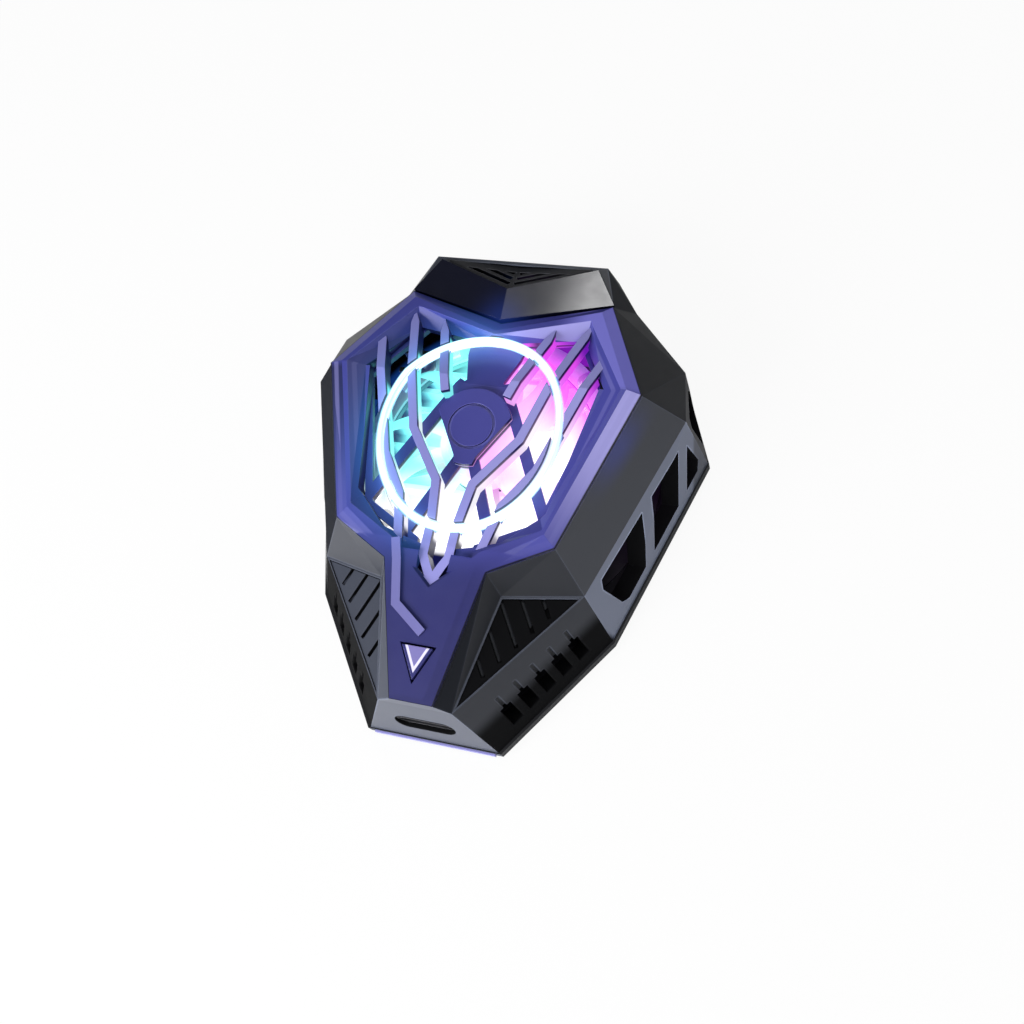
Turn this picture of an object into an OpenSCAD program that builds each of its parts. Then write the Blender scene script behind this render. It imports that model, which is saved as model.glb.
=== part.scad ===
// Magnetic phone cooling fan with a thermoelectric cold plate, lying on its back with the grille up.
// Millimetres. The origin is on the back face, on the fan axis; +Z leaves the grille, -Y is the socket end.

/* [Outline] */
// Width across the widest corners of the back
body_w = 65.8; // [64:0.2:72]
// Length from the socket end to the vent end
body_l = 75; // [74:0.5:82]
// Wall thickness of the mid housing
wall = 2.2; // [1.8:0.1:2.4]
// Thickness of the rear cover plate
rear_t = 1.8; // [1.6:0.1:2.4]
// Height of the front cover rim above its outer edge
rim_h = 0.9; // [0.5:0.1:1.4]
// Width of the sloping band round the front cover
rim_w = 2; // [1.4:0.1:2.4]

/* [Cooling stack] */
// Height by which the contact pad stands proud of the rear cover
pad_proud = 0.4; // [0.2:0.1:0.6]
// Thickness of the silicone contact pad
pad_t = 0.8; // [0.7:0.1:1.2]
// Radius of the cold face
cold_r = 14.4; // [13:0.1:15]
// Thickness of the cold plate flange
flange_t = 0.6; // [0.5:0.1:1]
// Side of the square thermoelectric module
tec_side = 20; // [16:0.5:21]
// Thickness of each ceramic plate
tec_plate_t = 0.5; // [0.4:0.1:0.8]
// Height of the semiconductor legs
tec_leg_h = 1; // [0.8:0.1:1.4]
// Thickness of the heat sink base
sink_t = 1.2; // [1:0.1:1.8]
// Height of the heat sink fins
fin_h = 3; // [2.4:0.1:3.4]
// Thickness of one fin
fin_t = 0.8; // [0.6:0.1:1.1]
// Number of fins
fin_n = 11; // [9:1:12]

/* [Fan] */
// Radius over the blade tips
fan_r = 16.4; // [15.5:0.1:16.6]
// Radius of the rotor hub
hub_r = 6.4; // [6.2:0.1:7]
// Height of the blades
blade_h = 4.6; // [4:0.1:4.8]
// Thickness of a blade
blade_t = 0.9; // [0.7:0.1:1.2]
// Number of blades
blade_n = 9; // [7:1:11]
// Lean of the blades from upright
blade_lean = 48; // [40:1:52]
// Radius of the shaft
shaft_r = 0.75; // [0.6:0.05:0.9]
// Thickness of the fan frame plate
frame_t = 0.9; // [0.8:0.1:1.2]

/* [Grille and light] */
// Height of the raised ribs of the front cover
rib_h = 2.2; // [2:0.1:2.6]
// Width of the raised ribs
rib_w = 1.3; // [1:0.1:1.6]
// Thickness of the inner grille
inner_t = 1.1; // [0.9:0.1:1.2]
// Width of the bars of the inner grille
bar_w = 1.7; // [1.2:0.1:2]
// Half width of the oval light ring, to the middle of its band
ring_rx = 13.4; // [12.8:0.1:13.8]
// Half length of the oval light ring, to the middle of its band
ring_ry = 15.3; // [14.4:0.1:15.6]
// Width of the light ring
ring_w = 1.5; // [1:0.1:1.8]
// Number of lamps on the lamp board
lamp_n = 12; // [8:1:12]

/* [Side openings] */
// Lower edge of the side windows
win_low = 3.8; // [3.4:0.1:4.4]
// Height of the side windows
win_h = 7.4; // [6:0.1:7.8]
// Width of the slanted struts between the windows
strut_w = 1.9; // [1.5:0.1:2.4]
// Number of rectangular holes in each tail wall
hole_n = 5; // [3:1:5]
// Width of a rectangular hole
hole_w = 2; // [1.6:0.1:2.2]
// Height of a rectangular hole
hole_h = 4.2; // [3:0.1:4.4]

/* [Socket and button] */
// Width of the power socket shell
usb_w = 8.94; // [8.8:0.02:9.1]
// Height of the power socket shell
usb_h = 3.26; // [3.1:0.02:3.4]
// Depth of the power socket shell
usb_d = 7.4; // [6.8:0.1:7.8]
// Width of the triangular mode button
button_w = 4.6; // [4:0.1:5]
// Travel of the mode button
button_travel = 0.4; // [0.25:0.05:0.5]
// Gap round the mode button
button_gap = 0.25; // [0.15:0.05:0.35]

/* [Fasteners and magnets] */
// Radius of a screw shank
screw_r = 0.8; // [0.7:0.05:0.9]
// Radius of a screw head
head_r = 1.5; // [1.4:0.05:1.6]
// Radius of the ring of magnets
magnet_ring_r = 23.6; // [23.2:0.1:24]
// Radius of one magnet
magnet_r = 2.2; // [1.8:0.1:2.4]
// Number of magnets
magnet_n = 16; // [12:1:18]

/* [Hidden] */
$fn = 64;
eps = 0.05;
fit = 0.1;
run_gap = 0.4;
shaft_fit = 0.03;
sx = body_w / 65.8;
sy = body_l / 75;

// Heights of the stack, each from the one below
z_rear0 = pad_proud;
z_rear1 = z_rear0 + rear_t;
z_flange1 = z_rear1 + flange_t;
z_tec1 = z_flange1 + tec_plate_t;
z_tec2 = z_tec1 + tec_leg_h;
z_sink0 = z_tec2 + tec_plate_t;
z_fin0 = z_sink0 + sink_t;
z_fin1 = z_fin0 + fin_h;
z_frame1 = z_fin1 + frame_t;
z_blade0 = z_frame1 + run_gap;
z_blade1 = z_blade0 + blade_h;
// Front cover surface: highest at the shoulder crease, falling to both ends
y_c = 7 * sy;
y_e = -21.8 * sy;
fall_top = 0.27;
fall_main = 0.045;
fall_tail = 0.24;
under = rib_h + inner_t;
z_c = z_blade1 + run_gap + under + fall_top * (fan_r - y_c) + 0.4;
z_e = z_c + (y_e - y_c) * fall_main;
lip = 0.3;
function zs(y) = y > y_c ? z_c - (y - y_c) * fall_top
    : y < y_e ? z_e + (y - y_e) * fall_tail : z_c + (y - y_c) * fall_main;

// Corner points of the right half, vent end first
z_sh = 0.61 * z_c;
base_h = [[14.4, 31], [18.6, 26], [27.9, 16.6], [32.9, 5.8], [24.1, -24.7], [11.1, -43.8]];
sho_h = [[15.6, 29, 1.1], [19, 24.8, 0.98], [28, 16, 0.92], [29.7, 7.5, 1], [20.2, -20.8, 0.95],
    [5.6, -40.8, 1.05]];
crown_h = [[14, 30], [16.3, 23.2], [24.3, 7], [16.6, -17], [7.7, -21.8], [3.3, -40.6]];
notch_h = [9.2, -23.5];
z_deck = zs(23.2 * sy) - lip;
cap_t = [12.8 * sx, 29 * sy];
base_p = [for (p = base_h) [p[0] * sx, p[1] * sy, 0]];
sho_p = [for (p = sho_h) [p[0] * sx, p[1] * sy, p[2] * z_sh]];
crown_p = [for (i = [0:5]) [crown_h[i][0] * sx, crown_h[i][1] * sy,
    i == 0 ? z_deck : zs(crown_h[i][1] * sy) - lip]];
notch_p = [notch_h[0] * sx, notch_h[1] * sy, 0.725 * z_c];
function foot(z) = [for (i = [0:5]) base_p[i] + (sho_p[i] - base_p[i]) * z / sho_p[i][2]];
// Way inwards of each corner, for the hollow
base_in = [[-0.8, -1.1], [-0.9, -0.9], [-1.1, -0.5], [-1.1, 0.1], [-1.15, 0.5], [-1.2, 1.1]];
sho_in = [[-0.9, -1], [-0.9, -0.9], [-1.1, -0.5], [-1.1, 0.1], [-1.1, 0.5], [-1, 1.1]];
crown_in = [[-0.7, -1.1], [-1, -0.9], [-1.2, 0.1], [-1.1, 0.6], [-1, 0.5], [-0.8, 1.1]];
notch_in = [-1.1, 0.6];
function shift(p, d, z) = [p[0] + d[0] * wall, p[1] + d[1] * wall, p[2] + z];

function plan(ps) = [for (p = ps) [p[0] * sx, p[1] * sy]];
function left(ps) = [for (p = ps) [-p[0], p[1], p[2]]];
function flat(p) = [for (q = p) [q[0], q[1]]];
function both(h) = concat(h, [for (i = [len(h) - 1:-1:0])
    if (abs(h[i][0]) > 0.001) [-h[i][0], h[i][1]]]);
function quad(a, b, c, d) = [[b, d, c], [b, c, a]];
function turn(fs, k) = [for (f = fs) [f[2] + k, f[1] + k, f[0] + k]];

// Faceted solid between a foot loop, a shoulder loop and a crown loop of six corners a side
module crystal(low, mid, top, notch) {
    right = concat(low, mid, top, [notch]);
    fr = concat([for (i = [0:4]) each quad(i, i + 1, i + 6, i + 7)],
        quad(6, 7, 12, 13), quad(7, 8, 13, 14),
        [[9, 14, 8]], quad(9, 10, 14, 15), quad(10, 18, 15, 16), [[11, 18, 10]], quad(18, 11, 16, 17));
    mid_f = concat([[0, 6, 25, 19], [6, 12, 31, 25], [24, 30, 11, 5], [30, 36, 17, 11]],
        [for (i = [12:16]) [i + 19, i, i + 1, i + 20]],
        [[0, 19, 20, 21, 22, 23, 24, 5, 4, 3, 2, 1]]);
    polyhedron(concat(right, left(right)), concat(fr, turn(fr, 19), mid_f), convexity = 8);
}

// Slab that follows the folded surface of the front cover, between two heights above it
module fold(lo, hi) {
    ys = [40 * sy, y_c, y_e, -50 * sy];
    rotate([90, 0, 90]) linear_extrude(90 * sx, center = true)
        polygon(concat([for (y = ys) [y, zs(y) + hi]], [for (i = [3:-1:0]) [ys[i], zs(ys[i]) + lo]]));
}

module plate(lo, hi) {
    intersection() {
        fold(lo, hi);
        linear_extrude(60) children();
    }
}

function unit(v) = v / norm(v);
// Step to the left of a line at its corner i, as long as keeps a bar one unit wide to each side
function mitre(ps, i) = let (
    a = unit(i > 0 ? ps[i] - ps[i - 1] : ps[1] - ps[0]),
    b = i < len(ps) - 1 ? unit(ps[i + 1] - ps[i]) : a,
    m = unit(a + b)) [-m[1], m[0]] / (m * a);

// Bar of a given width through a list of points, with a point of a given length at its start
module path(ps, w, tip = 0) {
    n = len(ps);
    polygon(concat([for (i = [0:n - 1]) ps[i] + mitre(ps, i) * w / 2],
        [for (i = [n - 1:-1:0]) ps[i] - mitre(ps, i) * w / 2],
        tip > 0 ? [ps[0] + unit(ps[0] - ps[1]) * tip] : []));
}

module pair() {
    children();
    mirror([1, 0, 0]) children();
}

module ring(r0, r1, h) {
    difference() {
        cylinder(h, r1, r1);
        translate([0, 0, -1]) cylinder(h + 2, r0, r0);
    }
}

module at4(p) {
    for (i = [-1, 1], j = [-1, 1])
        translate([p[0] * i, p[1] * j, 0]) children();
}

// Outline of the front cover in plan and the opening in it
cover_h = [[0, 18 * sy], flat(crown_p)[1], flat(crown_p)[2], flat(crown_p)[3], flat(crown_p)[4],
    flat(crown_p)[5]];
open_h = plan([[0, 14.4], [13.4, 16.8], [18, 7.8], [14.3, -12.2], [8.9, -17.4], [2.5, -19],
    [2.3, -22.6], [0, -24.4]]);
plug_h = plan([[0, 16], [14.4, 19.6], [20.6, 7.2], [14, -14.8], [5, -19.2], [4.2, -26]]);
// Seat of the cap in plan
cap_seat = [[0, 18 * sy], [crown_p[1][0] + 1, crown_p[1][1] + 0.3],
    [crown_p[1][0] + 0.8, crown_p[1][1] + 1.4], [cap_t[0] + 0.15, cap_t[1] + 0.1],
    [0, 23.3 * sy]];
// Ribs of the front cover, right side
rib_e = plan([[13.6, 16.6], [8.2, -1.9], [2.8, -9.4], [1.95, -15.7], [1.9, -20.6], [0, -24.2]]);
rib_f = plan([[17.6, 12.6], [11.6, -6.2], [7.8, -12.1], [6.2, -19]]);
rib_d = plan([[8.2, 15.2], [4.8, 4.4]]);
tip_y = -23.6 * sy;
// Bars and upper web of the inner grille, right side
bar_1 = plan([[3.2, 7.5], [15, -15.1]]);
bar_2 = plan([[1.2, -5], [7.5, -19]]);
web_h = plan([[0, 15.2], [4.5, 15.4], [4.2, 12.5], [2.9, 7.8], [4.4, 5.4], [0, 3]]);
// Hub plate of the grille: round above, cut to a point below
disc_r = 6;
disc_h = [[0, 7], [8.6, 7], [1.7, -4.7], [1.2, -6.6]];
// Depth of the dish along its top edge
dish_top = 1.7;
rail_p = plan([[-6.2, -19], [-5.3, -22], [-4.3, -28], [0.3, -31.4]]);

// Middle of the light ring
ring_y = -0.9 * sy;
// Places of the fasteners and of the button
boss_r = 1.8;
boss_gap = 0.2;
backing_r0 = magnet_ring_r - magnet_r - 0.2;
backing_r1 = magnet_ring_r + magnet_r + 0.2;
rear_r = backing_r1 + head_r + fit + boss_gap;
rear_at = [for (p = plan([[24.8, 12.6], [16.9, -22.1]])) p * max(1, rear_r / norm(p))];
sink_r = backing_r0 - boss_gap - boss_r;
sink_at = [sink_r * cos(30), sink_r * sin(30)];
frame_at = [13.2, 13.2];
post_r = 1.7;
post_x = 5 * sx;
board_at = [post_x, min(-27.4 * sy, -sqrt(pow(backing_r1 + 0.15 + post_r, 2) - pow(post_x, 2)))];
// Foam seal round the module and the flange under it
seal_cut = tec_side + 0.4;
seal_r = seal_cut * sqrt(0.5) + 0.88;
flange_r = max(cold_r + 1.4, seal_r + 0.5);
button_y = -34.9 * sy;
usb_z = 0.345 * z_c;
usb_y = -41.9 * sy;
board_t = 1;
z_board1 = usb_z - usb_h / 2;
z_board0 = z_board1 - board_t;
board_y0 = usb_y + 2.4;
board_y1 = -25 * sy;
board_x = 6 * sx;
switch_y = button_y + 3.4;
switch_h = 1.7;
switch_w = 4.4;
plunger_h = 0.9;
plunger_r = 1.1;

// Parts of the motor
cup_t = 0.6;
z_cup1 = z_blade1;
yoke_t = 0.45;
yoke_r = hub_r - cup_t;
magnet_t = 0.8;
stator_r = yoke_r - yoke_t - magnet_t - run_gap;
sleeve_r = shaft_r + 0.75;
tube_r = sleeve_r + 0.5;
z_tube1 = z_blade1 - 1.6;
stator_h = 1.4;
z_stator0 = z_frame1 + 0.7;
frame_r0 = fan_r + 0.5;
frame_r1 = frame_r0 + 3.4;
lamp_board_t = 0.6;

// Countersunk or pan screw standing on its tip, head up
module screw(len) {
    cylinder(len, screw_r, screw_r, $fn = 32);
    translate([0, 0, len]) difference() {
        cylinder(0.8, head_r, head_r, $fn = 32);
        translate([0, 0, 0.35]) cylinder(1, head_r * 0.5, head_r * 0.5, $fn = 6);
    }
}

module rear_cover() {
    color([0.06, 0.06, 0.07]) difference() {
        union() {
            translate([0, 0, z_rear0]) linear_extrude(rear_t)
                polygon(both(flat(foot(z_rear0 + rear_t / 2))));
            at4(sink_at) translate([0, 0, z_rear1 - 0.5])
                cylinder(z_sink0 - z_rear1 + 0.5, boss_r, boss_r);
            pair() translate([board_at[0], board_at[1], z_rear1 - 0.5])
                cylinder(z_board0 - z_rear1 + 0.5, post_r, post_r);
        }
        translate([0, 0, -1]) cylinder(9, cold_r + fit, cold_r + fit);
        for (i = [0:magnet_n - 1])
            rotate((i + 0.5) * 360 / magnet_n) translate([magnet_ring_r, 0, z_rear0 + 0.5])
                cylinder(9, magnet_r + eps, magnet_r + eps, $fn = 32);
        translate([0, 0, z_rear1 - 0.4]) ring(backing_r0 - fit, backing_r1 + fit, 9);
        at4(sink_at) translate([0, 0, z_rear0 + 0.6]) cylinder(9, screw_r, screw_r, $fn = 32);
        pair() translate([board_at[0], board_at[1], z_rear0 + 0.6])
            cylinder(9, screw_r, screw_r, $fn = 32);
        for (p = rear_at)
            pair() translate([p[0], p[1], -1]) {
                cylinder(9, screw_r + eps, screw_r + eps, $fn = 32);
                cylinder(1 + z_rear0 + 0.9, head_r + fit, head_r + fit, $fn = 32);
            }
        tail_slot(fit);
    }
}

module tail_slot(gap) {
    translate([-9.6 * sx - gap, foot(z_rear0 + rear_t / 2)[5][1] - 0.3, z_rear0 + 0.35 - gap])
        cube([19.2 * sx + 2 * gap, 1.3 + gap, 0.9 + 2 * gap]);
}

module tail_trim() {
    color([0.45, 0.4, 0.72]) tail_slot(0);
}

module rear_screws() {
    color([0.35, 0.35, 0.37])
        for (p = rear_at)
            pair() translate([p[0], p[1], z_rear0 + 0.9 + 5]) mirror([0, 0, 1]) screw(5);
}

module contact_pad() {
    color([0.2, 0.2, 0.22]) difference() {
        cylinder(pad_t, cold_r - 0.2, cold_r - 0.2);
        for (r = [4, 8, 12])
            translate([0, 0, -0.7]) ring(r, r + 0.8, 0.9);
    }
}

module cold_plate() {
    color([0.78, 0.79, 0.8]) {
        translate([0, 0, pad_t]) cylinder(z_rear1 - pad_t + eps, cold_r, cold_r);
        difference() {
            translate([0, 0, z_rear1]) cylinder(flange_t, flange_r, flange_r);
            at4(sink_at) cylinder(20, boss_r + fit, boss_r + fit);
        }
    }
}

module magnets() {
    color([0.7, 0.7, 0.72])
        for (i = [0:magnet_n - 1])
            rotate((i + 0.5) * 360 / magnet_n) translate([magnet_ring_r, 0, z_rear0 + 0.5])
                cylinder(rear_t - 0.9, magnet_r, magnet_r, $fn = 32);
}

module magnet_yoke() {
    color([0.5, 0.5, 0.53]) translate([0, 0, z_rear1 - 0.4])
        ring(backing_r0, backing_r1, 0.4);
}

module tec_cold_side() {
    color([0.92, 0.92, 0.9]) translate([-tec_side / 2, -tec_side / 2, z_flange1])
        cube([tec_side, tec_side, tec_plate_t]);
}

module tec_legs() {
    n = 8;
    pitch = tec_side / n;
    color([0.25, 0.25, 0.28])
        for (i = [0:n - 1], j = [0:n - 1])
            translate([(i + 0.25) * pitch - tec_side / 2, (j + 0.25) * pitch - tec_side / 2, z_tec1])
                cube([pitch / 2, pitch / 2, tec_leg_h]);
}

module tec_hot_side() {
    color([0.92, 0.92, 0.9]) translate([-tec_side / 2, -tec_side / 2, z_tec2])
        cube([tec_side, tec_side, tec_plate_t]);
}

module tec_seal() {
    color([0.15, 0.15, 0.15]) difference() {
        translate([0, 0, z_flange1]) cylinder(z_sink0 - z_flange1, seal_r, seal_r);
        translate([-seal_cut / 2, -seal_cut / 2, 0]) cube([seal_cut, seal_cut, 20]);
        at4(sink_at) cylinder(20, boss_r + fit, boss_r + fit);
    }
}

module heat_sink() {
    long = 2 * sink_at[0] + 4.4;
    wide = 34;
    step = (wide - fin_t) / (fin_n - 1);
    color([0.72, 0.73, 0.75]) difference() {
        union() {
            translate([-long / 2, -wide / 2, z_sink0]) cube([long, wide, sink_t]);
            for (i = [0:fin_n - 1])
                translate([-long / 2, i * step - wide / 2, z_fin0 - eps])
                    cube([long, fin_t, fin_h + eps]);
            at4(frame_at) translate([0, 0, z_fin0 - eps]) cylinder(fin_h + eps, 2, 2);
        }
        at4(frame_at) translate([0, 0, z_fin0 - 0.4]) cylinder(20, screw_r, screw_r, $fn = 32);
        at4(sink_at) translate([0, 0, z_sink0 - 1])
            cylinder(20, screw_r + eps, screw_r + eps, $fn = 32);
        at4(sink_at) translate([0, 0, z_fin0]) cylinder(20, head_r + 0.3, head_r + 0.3, $fn = 32);
    }
}

module sink_screws() {
    len = z_fin0 - z_rear0 - 0.9;
    color([0.35, 0.35, 0.37]) at4(sink_at) translate([0, 0, z_fin0 - len]) screw(len);
}

module fan_frame() {
    color([0.1, 0.1, 0.11]) difference() {
        union() {
            translate([0, 0, z_fin1]) {
                ring(frame_r0, frame_r1, frame_t);
                cylinder(frame_t, hub_r, hub_r);
                for (a = [0:90:270])
                    rotate(a + 20) translate([hub_r - 1, -0.9, 0])
                        cube([frame_r0 - hub_r + 1.5, 1.8, frame_t]);
            }
            translate([0, 0, z_fin1]) cylinder(z_tube1 - z_fin1, tube_r, tube_r);
            translate([0, 0, z_fin1]) cylinder(z_stator0 - z_fin1, tube_r + 0.6, tube_r + 0.6);
        }
        translate([0, 0, z_fin1 + 0.5]) cylinder(20, sleeve_r, sleeve_r);
        at4(frame_at) translate([0, 0, 0]) cylinder(40, screw_r + eps, screw_r + eps, $fn = 32);
    }
}

module frame_screws() {
    len = z_frame1 + lamp_board_t - z_fin0;
    color([0.35, 0.35, 0.37]) at4(frame_at) translate([0, 0, z_fin0]) screw(len);
}

module bearing_sleeve() {
    color([0.72, 0.53, 0.25]) translate([0, 0, z_fin1 + 0.5])
        ring(shaft_r + shaft_fit, sleeve_r, z_tube1 - z_fin1 - 0.5);
}

module stator_core() {
    color([0.42, 0.42, 0.45]) translate([0, 0, z_stator0]) difference() {
        union() {
            cylinder(stator_h, tube_r + 0.7, tube_r + 0.7);
            for (a = [0:90:270])
                rotate(a) intersection() {
                    union() {
                        translate([0, -0.55, 0]) cube([stator_r, 1.1, stator_h]);
                        translate([stator_r - 0.6, -1.6, 0]) cube([2, 3.2, stator_h]);
                    }
                    cylinder(stator_h, stator_r, stator_r);
                }
        }
        translate([0, 0, -1]) cylinder(9, tube_r, tube_r);
    }
}

module stator_coils() {
    x0 = tube_r + 0.75;
    len = stator_r - 0.65 - x0;
    color([0.75, 0.4, 0.2])
        for (a = [0:90:270])
            rotate(a) translate([x0, 0, z_stator0]) difference() {
                translate([0, -0.95, -0.4]) cube([len, 1.9, stator_h + 0.8]);
                translate([-1, -0.55, 0]) cube([len + 2, 1.1, stator_h]);
            }
}

module fan_rotor() {
    color([0.85, 0.9, 0.95]) {
        difference() {
            translate([0, 0, z_blade0]) cylinder(z_cup1 - z_blade0, hub_r, hub_r);
            translate([0, 0, z_blade0 - 1]) cylinder(z_cup1 - 0.8 - z_blade0 + 1, yoke_r, yoke_r);
            translate([0, 0, z_blade0]) cylinder(z_cup1 - z_blade0 - 0.3, shaft_r, shaft_r);
        }
        intersection() {
            translate([0, 0, z_blade0]) ring(hub_r - 0.3, fan_r, blade_h);
            for (i = [0:blade_n - 1])
                rotate(i * 360 / blade_n) translate([hub_r - 0.4, 0, z_blade0 + blade_h / 2])
                    rotate([90 - blade_lean, 0, 14]) translate([0, -10, -blade_t / 2])
                        cube([14, 20, blade_t]);
        }
    }
}

module rotor_yoke() {
    color([0.5, 0.5, 0.53]) translate([0, 0, z_blade0 + 0.2])
        ring(yoke_r - yoke_t, yoke_r, z_cup1 - 1 - z_blade0);
}

module rotor_magnet() {
    color([0.2, 0.18, 0.18]) translate([0, 0, z_blade0 + 0.2])
        ring(yoke_r - yoke_t - magnet_t, yoke_r - yoke_t, z_cup1 - 1.4 - z_blade0);
}

module rotor_shaft() {
    color([0.75, 0.75, 0.78]) translate([0, 0, z_fin1 + 0.8])
        cylinder(z_cup1 - 0.3 - z_fin1 - 0.8, shaft_r, shaft_r, $fn = 32);
}

module lamp_board() {
    color([0.9, 0.9, 0.9]) translate([0, 0, z_frame1]) difference() {
        ring(frame_r0 + 0.2, frame_r1 - 0.1, lamp_board_t);
        at4(frame_at) translate([0, 0, -1]) cylinder(9, screw_r + eps, screw_r + eps, $fn = 32);
    }
}

module lamps() {
    r = (frame_r0 + frame_r1) / 2;
    color([0.95, 0.95, 0.85])
        for (i = [0:lamp_n - 1])
            rotate((i + 0.5) * 360 / lamp_n + 15) translate([r - 0.7, -0.7, z_frame1 + lamp_board_t])
                cube([1.4, 1.4, 0.7]);
}

module inner_grille() {
    color([0.3, 0.24, 0.55]) plate(-under, -rib_h) {
        difference() {
            offset_in(0);
            offset_in(1);
        }
        intersection() {
            offset_in(0);
            union() {
                disc();
                polygon(both(web_h));
                path(bar_1, bar_w);
                path(bar_2, bar_w);
                mirror([1, 0]) path(bar_1, bar_w);
                mirror([1, 0]) path(bar_2, bar_w);
            }
        }
    }
}

// Edge of the inner grille in plan, scaled about the fan axis: 0 outer, 1 inner
module offset_in(k) {
    g = [[0, 15.4], [13.2, 18.2], [19.4, 7.4], [13.6, -14], [4.6, -18.8], [3.7, -25], [0, -25.6]];
    f = k == 0 ? 1 : 0.93;
    polygon(both([for (p = g) [p[0] * sx * f, p[1] * sy * f]]));
}

// Hub plate in plan
module disc() {
    intersection() {
        circle(disc_r);
        polygon(both(disc_h));
    }
}

module hub_cap() {
    color([0.4, 0.34, 0.68]) difference() {
        plate(-rib_h, -rib_h + 0.9) disc();
        plate(-rib_h + 0.6, 5) difference() {
            circle(3.6);
            circle(3.2);
        }
        plate(-rib_h - 1, 5) rib_prints(fit);
    }
}

module rib_prints(gap) {
    path(rib_d, rib_w + 2 * gap);
    mirror([1, 0]) path(rib_d, rib_w + 2 * gap);
}

// Oval of the light ring in plan, widened by d
module oval(d) {
    n = 96;
    rx = ring_rx + d;
    ry = ring_ry + d;
    polygon([for (i = [0:n - 1]) [rx * cos(i * 360 / n), ring_y + ry * sin(i * 360 / n)]]);
}

module light_ring() {
    color([0.75, 0.95, 1]) plate(-1.1, 0.25) difference() {
        oval(ring_w / 2);
        oval(-ring_w / 2);
    }
}

// Folded solid on the cover outline with the sloping band round it
module cover_blank() {
    out = cover_h;
    mid = [0, 18 * sy];
    ins = [[0, -rim_w * 1.06], [-0.62 * rim_w, -0.9 * rim_w], [-1.1 * rim_w, 0.1 * rim_w],
        [-0.85 * rim_w, 0.75 * rim_w],
        [-0.7 * rim_w, 0.3 * rim_w], [-0.62 * rim_w, 0.3 * rim_w]];
    low = [for (p = out) [p[0], p[1], zs(p[1]) - lip]];
    edge = [for (p = out) [p[0], p[1], zs(p[1])]];
    inn = [for (i = [0:5]) out[i] + ins[i]];
    top = [for (p = inn) [p[0], p[1], zs(p[1]) + rim_h]];
    loops = [low, edge, top];
    all = [for (h = loops) each concat(h, [for (i = [5:-1:1]) [-h[i][0], h[i][1], h[i][2]]])];
    n = 11;
    cap = [[0, 1, 2], [0, 2, 9], [0, 9, 10], [9, 2, 3], [9, 3, 8], [8, 3, 4], [8, 4, 7], [7, 4, 5],
        [7, 5, 6]];
    polyhedron(all, concat([for (f = cap) [f[2], f[1], f[0]]], [for (f = cap) [for (v = f) v + 2 * n]],
        [for (k = [0, n], i = [0:n - 1]) each quad(k + i, k + (i + 1) % n, k + n + i, k + n + (i + 1) % n)]),
        convexity = 8);
}

// Dish sunk into the middle of the front cover, with sloping sides that go deepest at the top
module cover_dish() {
    hi = plan([[0, 15.2], [13.9, 19.6], [21.4, 7.4], [14.6, -15], [6.4, -19.4], [0, -25.4]]);
    lo = plan([[0, 14.2], [13.3, 16.6], [18.6, 7.4], [13.6, -13], [6, -18], [0, -24]]);
    n = 10;
    loop_lo = [for (p = both(lo)) [p[0], p[1], zs(p[1]) - (p[1] > 10 * sy ? dish_top : 0.2)]];
    loop_hi = [for (i = [0:n - 1]) [both(hi)[i][0], both(hi)[i][1], zs(both(hi)[i][1]) + rim_h + 0.1]];
    cap = [[0, 1, 2], [0, 2, 8], [0, 8, 9], [8, 2, 3], [8, 3, 7], [7, 3, 4], [7, 4, 6], [6, 4, 5]];
    polyhedron(concat(loop_lo, loop_hi), concat([for (f = cap) [f[2], f[1], f[0]]],
        [for (f = cap) [for (v = f) v + n]],
        [for (i = [0:n - 1]) each quad(i, (i + 1) % n, n + i, n + (i + 1) % n)]), convexity = 8);
}

module triangle(w) {
    polygon([[-w / 2, w * 0.36], [w / 2, w * 0.36], [0, -w * 0.62]]);
}

module front_cover() {
    color([0.42, 0.36, 0.68]) difference() {
        union() {
            difference() {
                union() {
                    cover_blank();
                    plate(-rib_h, 0) polygon(both(plug_h));
                }
                cover_dish();
                plate(-9, 9) polygon(both(open_h));
            }
            plate(-rib_h, 0.35) intersection() {
                polygon(both(plug_h));
                union() {
                    polygon([[-rib_w, tip_y], [0, tip_y - 3 * rib_w], [rib_w, tip_y]]);
                    for (m = [0, 1])
                        mirror([m, 0]) {
                            path(rib_e, rib_w, 2 * rib_w);
                            path(rib_f, rib_w, 2 * rib_w);
                            path(rib_d, rib_w, 2 * rib_w);
                        }
                }
            }
            plate(-lip, rim_h + 0.35) path(rail_p, rib_w);
        }
        plate(-1.1, 9) difference() {
            oval(ring_w / 2 + eps);
            oval(-ring_w / 2 - eps);
        }
        plate(-rib_h - 1, 9) translate([0, button_y]) triangle(button_w + 3.6 * button_gap);
    }
}

module top_cap() {
    b = crown_p[1];
    t = cap_t;
    z1 = z_deck;
    lo = [[0, 18.2 * sy, z1], [b[0], b[1] + 0.2, z1], [t[0], t[1], z1], [0, 23.2 * sy, z1]];
    up = [[0, 18.2 * sy, zs(18 * sy) + 0.9], [b[0], b[1] + 0.2, z1 + 0.5], [t[0], t[1], z1 + 0.9],
        [0, 23.2 * sy, zs(18 * sy) + 1.5]];
    color([0.03, 0.03, 0.035]) pair()
        polyhedron(concat(lo, up), [[0, 1, 2, 3], [6, 5, 4], [7, 6, 4], [4, 5, 1], [0, 4, 1],
            [5, 6, 2], [1, 5, 2],
            [6, 7, 3], [2, 6, 3], [7, 4, 0], [3, 7, 0]]);
}

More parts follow.
